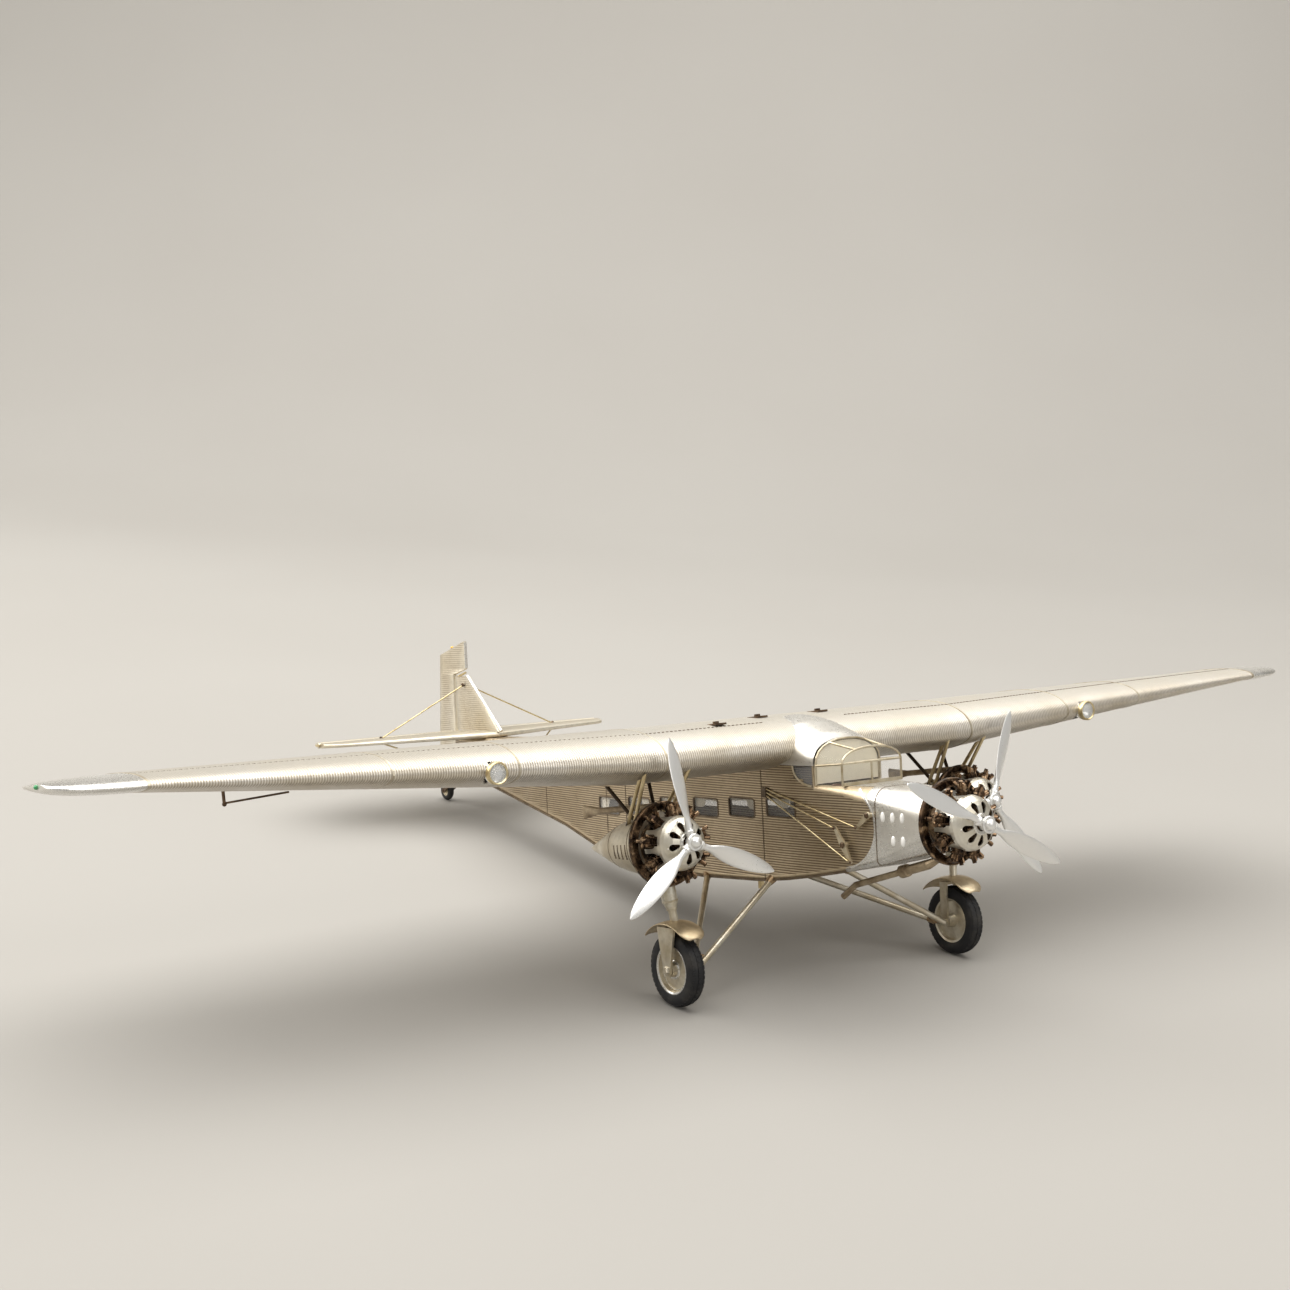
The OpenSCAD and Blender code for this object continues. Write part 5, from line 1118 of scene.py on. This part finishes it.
# The three radial engines: dark bronze cylinders with cooling fins round a short case, under a
# satin spun dome with a teardrop hole between each two, and a collector ring behind them.
engine_bronze, shader, place = start_material("engine_bronze", Metallic=0.95)
worn = place.noise(0.3, 5).ramp(0.4, 0.75)
# Copper-coloured patches scattered over the bronze are painted glints: highlights laid into the colour
painted_glint = place.noise(0.22, 3).ramp(0.55, 0.66)
colour = worn.mix((0.030, 0.018, 0.012), (0.20, 0.125, 0.07))
feed(shader, "Base Color", (painted_glint * 0.7).mix(colour, (0.52, 0.36, 0.22)))
feed(shader, "Roughness", place.noise(0.9, 4).ramp(0.25, 0.75, 0.2, 0.42))
feed(shader, "Normal", place.noise(1.2, 4).bump(0.2, 0.00005))
cowl_metal = aged_metal("cowl_metal", (0.74, 0.71, 0.63), (0.60, 0.55, 0.44), 0.33, patch=0.11, dirt=0.15)
blade_metal = aged_metal("blade_metal", (0.90, 0.90, 0.88), (0.84, 0.83, 0.80), 0.32, patch=0.02, dirt=0.03)
exhaust_metal = aged_metal("exhaust_metal", (0.46, 0.37, 0.25), (0.22, 0.16, 0.10), 0.42, patch=0.15)
copper_metal = aged_metal("copper_metal", (0.50, 0.33, 0.20), (0.16, 0.09, 0.05), 0.26, patch=0.3)
dress(engine_bronze, "crankcases", "nose_cylinders", "left_cylinders", "right_cylinders", "collector_rings")
dress(cowl_metal, "nose_cowl", "left_cowl", "right_cowl")
dress(exhaust_metal, "exhaust_pipes")
HUBS = {name: Vector((-90.4, side * 93.5, -4.2)) for side, name in HANDS}
HUBS = {"nose": Vector((0, 0, 0)), **HUBS}
ENGINE_TILT = math.radians(-6)  # the wing engines point up a little
ENGINES = {}
for name, at in HUBS.items():
    ENGINES[name] = Matrix.Translation(at) @ Matrix.Rotation(ENGINE_TILT if at.y else 0, 4, "Y")
THRUST = {name: engine.to_3x3() @ Vector((1, 0, 0)) for name, engine in ENGINES.items()}
CYLINDERS = 9
for name, hub_at in HUBS.items():
    bright = bmesh.new()
    dark = bmesh.new()
    for k in range(CYLINDERS):
        spin_in = ENGINES[name] @ Matrix.Rotation(math.tau / CYLINDERS * k, 4, "X")
        turn = spin_in.to_3x3()
        for face in (-1, 1):
            start = spin_in @ Vector((-11.6, face * 1.7, 15.6))
            rod(bright, start, spin_in @ Vector((-10.6, face * 2.3, 17.6)), 0.5, 8)
            head = spin_in @ Vector((-12.8, face * 1.7, 18.0))
            spun(bright, [(0, 0.55), (0.5, 0.5), (0.6, 0)], head, turn @ Vector((0.2, 0, 1)), 6)
            rod(dark, start, spin_in @ Vector((-9.4, face * 1.2, 10.6)), 0.22, 6)
        rod(dark, spin_in @ Vector((-16.8, 2.3, 14)), spin_in @ Vector((-19.5, 2.3, 8)), 0.75, 10)
        for radius in (9.0, 10.35, 11.7, 13.05, 14.4):
            fin = spin_in @ Vector((-14, 0, radius))
            spun(dark, [(-0.06, 2.4), (-0.06, 3.02), (0.1, 3.02), (0.1, 2.4)], fin, turn @ up_axis, 20)
    spun(dark, [(-20.0, 19.0), (-20.2, 19.5), (-20.8, 19.7), (-21.2, 19.6)], hub_at, THRUST[name], 96)
    spun(dark, [(-9.2, 10.9), (-9.0, 11.3), (-9.5, 11.5), (-9.9, 11.2)], hub_at, THRUST[name], 72)
    add_piece(f"{name}_plugs", bright, copper_metal, crease=40)
    add_piece(f"{name}_leads", dark, engine_bronze, crease=40)
    bm = bmesh.new()
    spun(bm, [(-2.35, 3.2), (-2.2, 4.4), (-2.6, 4.9), (-2.9, 4.9)], hub_at, THRUST[name], 48)
    for k in range(CYLINDERS):
        a = math.tau / CYLINDERS * (k + 0.5)
        spot = ENGINES[name] @ Vector((-4.6, 10.6 * math.sin(a), 10.6 * math.cos(a)))
        rivet(bm, spot, 0.4)
    add_piece(f"{name}_cowl_ring", bm, bright_skin, crease=40)

# Propellers: carved from bright brushed metal, two blades on the nose and three on each wing
# engine, held in a split hub with a lock ring and a domed nut.
BLADE_HALF = 4.3  # half of the widest chord
BLADE = [  # share of the radius, half chord and half thickness
    (0.12, 0.36, 0.36), (0.2, 0.37, 0.34), (0.28, 0.6, 0.24), (0.4, 0.88, 0.18), (0.55, 1, 0.14),
    (0.72, 0.92, 0.11), (0.86, 0.68, 0.09), (0.95, 0.4, 0.07), (1, 0.1, 0.05),
]


def smooth_value(table, share, column=1):
    """Smooth curve through a column of a table"""
    for k in range(len(table) - 1):
        if share <= table[k + 1][0]:
            break
    before = table[max(k - 1, 0)]
    after = table[min(k + 2, len(table) - 1)]
    low = table[k]
    high = table[k + 1]
    span = high[0] - low[0]
    t = (share - low[0]) / span
    rise_low = (high[column] - before[column]) / (high[0] - before[0]) * span
    rise_high = (after[column] - low[column]) / (after[0] - low[0]) * span
    a = 2 * t**3 - 3 * t**2 + 1
    b = t**3 - 2 * t**2 + t
    return a * low[column] + b * rise_low + (1 - a) * high[column] + (t**3 - t**2) * rise_high


# Profiles of the sleeve that holds a blade, and of the hub with its lock ring and nut
SLEEVE = [(0, 0), (0, 1.9), (4.2, 1.9), (4.4, 2.3), (5.4, 2.3), (5.7, 1.7), (6.6, 1.5), (6.6, 0)]
COLLAR = [(-2, 0), (-2, 2.5), (-1.7, 2.7), (1.3, 2.7), (1.4, 3.6), (1.7, 3.9), (2.3, 3.9), (2.6, 3.6)]
COLLAR += [(2.6, 2.9), (2.3, 2.75), (2.3, 2.5), (3.6, 2.5), (4.1, 2.25), (4.6, 1.7), (5.0, 0)]
for name, radius, blades, first in (("nose", 50, 2, 154), ("left", 48, 3, 66), ("right", 48, 3, 98)):
    bm = bmesh.new()
    for k in range(blades):
        turn = ENGINES[name] @ Matrix.Rotation(math.radians(first + 360 / blades * k), 4, "X")
        for vert in grid(bm, 24, 44):
            share = mix(0.12, 1, vert.co.y + 0.5)
            a = 2 * math.pi * (vert.co.x + 0.5)
            wide = max(0.25, BLADE_HALF * smooth_value(BLADE, share, 1))
            thick = max(0.12, BLADE_HALF * smooth_value(BLADE, share, 2))
            twist = math.radians(mix(32, 6, share))
            u = wide * math.cos(a)
            v = thick * math.sin(a) * (1 - 0.25 * math.cos(a))
            x = u * math.sin(twist) - v * math.cos(twist)
            vert.co = turn @ Vector((x, radius * share, u * math.cos(twist) + v * math.sin(twist)))
        spoke = turn.to_3x3() @ out_axis
        spun(bm, SLEEVE, HUBS[name], spoke, 24)
    spun(bm, COLLAR, HUBS[name], THRUST[name], 40)
    bmesh.ops.remove_doubles(bm, verts=bm.verts, dist=MERGED)
    bmesh.ops.holes_fill(bm, edges=[edge for edge in bm.edges if edge.is_boundary], sides=0)
    solid = [f"{name}_propeller"]
    body = f"{name}_airscrew"
    add_piece(f"{name}_airscrew_metal", bm, blade_metal, solid, 40, body=body)

# Nacelles behind the wing engines: spun smooth cones with cooling slots, carried under the wing by
# light front struts that meet in a point and dark rear ones.
OUTLINE = (  # distance behind the hub, and radius
    (24, 15), (30, 14.6), (40, 13.2), (50, 11), (60, 8), (70, 4.4), (78.6, 1.4), (81.6, 0.3),
)
nacelle_skin = aged_metal("nacelle_skin", (0.70, 0.65, 0.54), (0.50, 0.43, 0.31), 0.33, patch=0.07)
for side, hand in HANDS:
    bm = bmesh.new()
    curve = [(-24, 11.5)]
    for along in columns(24, 81.6, 2.4):
        curve.append((-along, max(0.0, smooth_value(OUTLINE, along)) if along < 81.5 else 0))
    spun(bm, curve, HUBS[hand], THRUST[hand], 72)
    add_piece(f"nacelle_{hand}_skin", bm, nacelle_skin, [f"nacelle_{hand}"], 40)
    bm = bmesh.new()
    for face in (-1, 1):
        for k in range(4):
            along = 33 + 3.9 * k
            r = smooth_value(OUTLINE, along)
            for rise in (-2, -1, 0, 1, 2):
                a = math.radians(5.5 * rise - 8)
                spot = Vector((-along + 0.12 * rise, face * r * math.cos(a), r * math.sin(a)))
                block(bm, (0.6, 0.3, 1.55), ENGINES[hand] @ Matrix.Translation(spot))
    for along in (25.5, 31, 52):
        r = smooth_value(OUTLINE, along)
        band = [(0.3, -0.1), (0.2, 0.1), (-0.2, 0.06), (-0.3, -0.15)]
        spun(bm, [(x - along, r + rise) for x, rise in band], HUBS[hand], THRUST[hand], 72)
    add_piece(f"nacelle_{hand}_slots", bm, seam_metal)
mount_metal, shader, place = start_material("mount_metal", Metallic=0.85)
from_nose = place.node("ShaderNodeSeparateXYZ", {"Vector": place}, 0)
tone = place.noise(0.15, 4).ramp(0.35, 0.7).mix((0.74, 0.62, 0.38), (0.48, 0.37, 0.20))
rear_x = (to_world @ Vector((-126, 0, 8))).x
feed(shader, "Base Color", from_nose.ramp(rear_x, rear_x + 0.002).mix((0.06, 0.042, 0.028), tone))
feed(shader, "Roughness", place.noise(1.2, 4).ramp(0.2, 0.8, 0.28, 0.46))
dress(mount_metal, "engine_mounts")

# Controls outside the cockpit: flat levers on their shafts with small nuts, and the wires that run
# back from them to a plate above the first window.
dress(frame_metal, "control_levers")
dress(seam_metal, "wire_plates")
NUTS = (  # station, height and radius
    (71.9, -12.1, 1.5), (55.8, 2.4, 1.3), (76.8, -4.55, 0.7), (67.0, -19.65, 0.7), (62.85, -3.5, 0.7),
)
bm = bmesh.new()
for side in (1, -1):
    for station, z, radius in NUTS:
        spot = Vector((-station, side * (body_at(station)[0] + 2.8), z))
        spun(bm, [(0, 0), (0, radius), (0.5, radius), (0.8, radius * 0.7), (0.8, 0)], spot, (0, side, 0), 6)
add_piece("lever_nuts", bm, dark_bronze, crease=30)
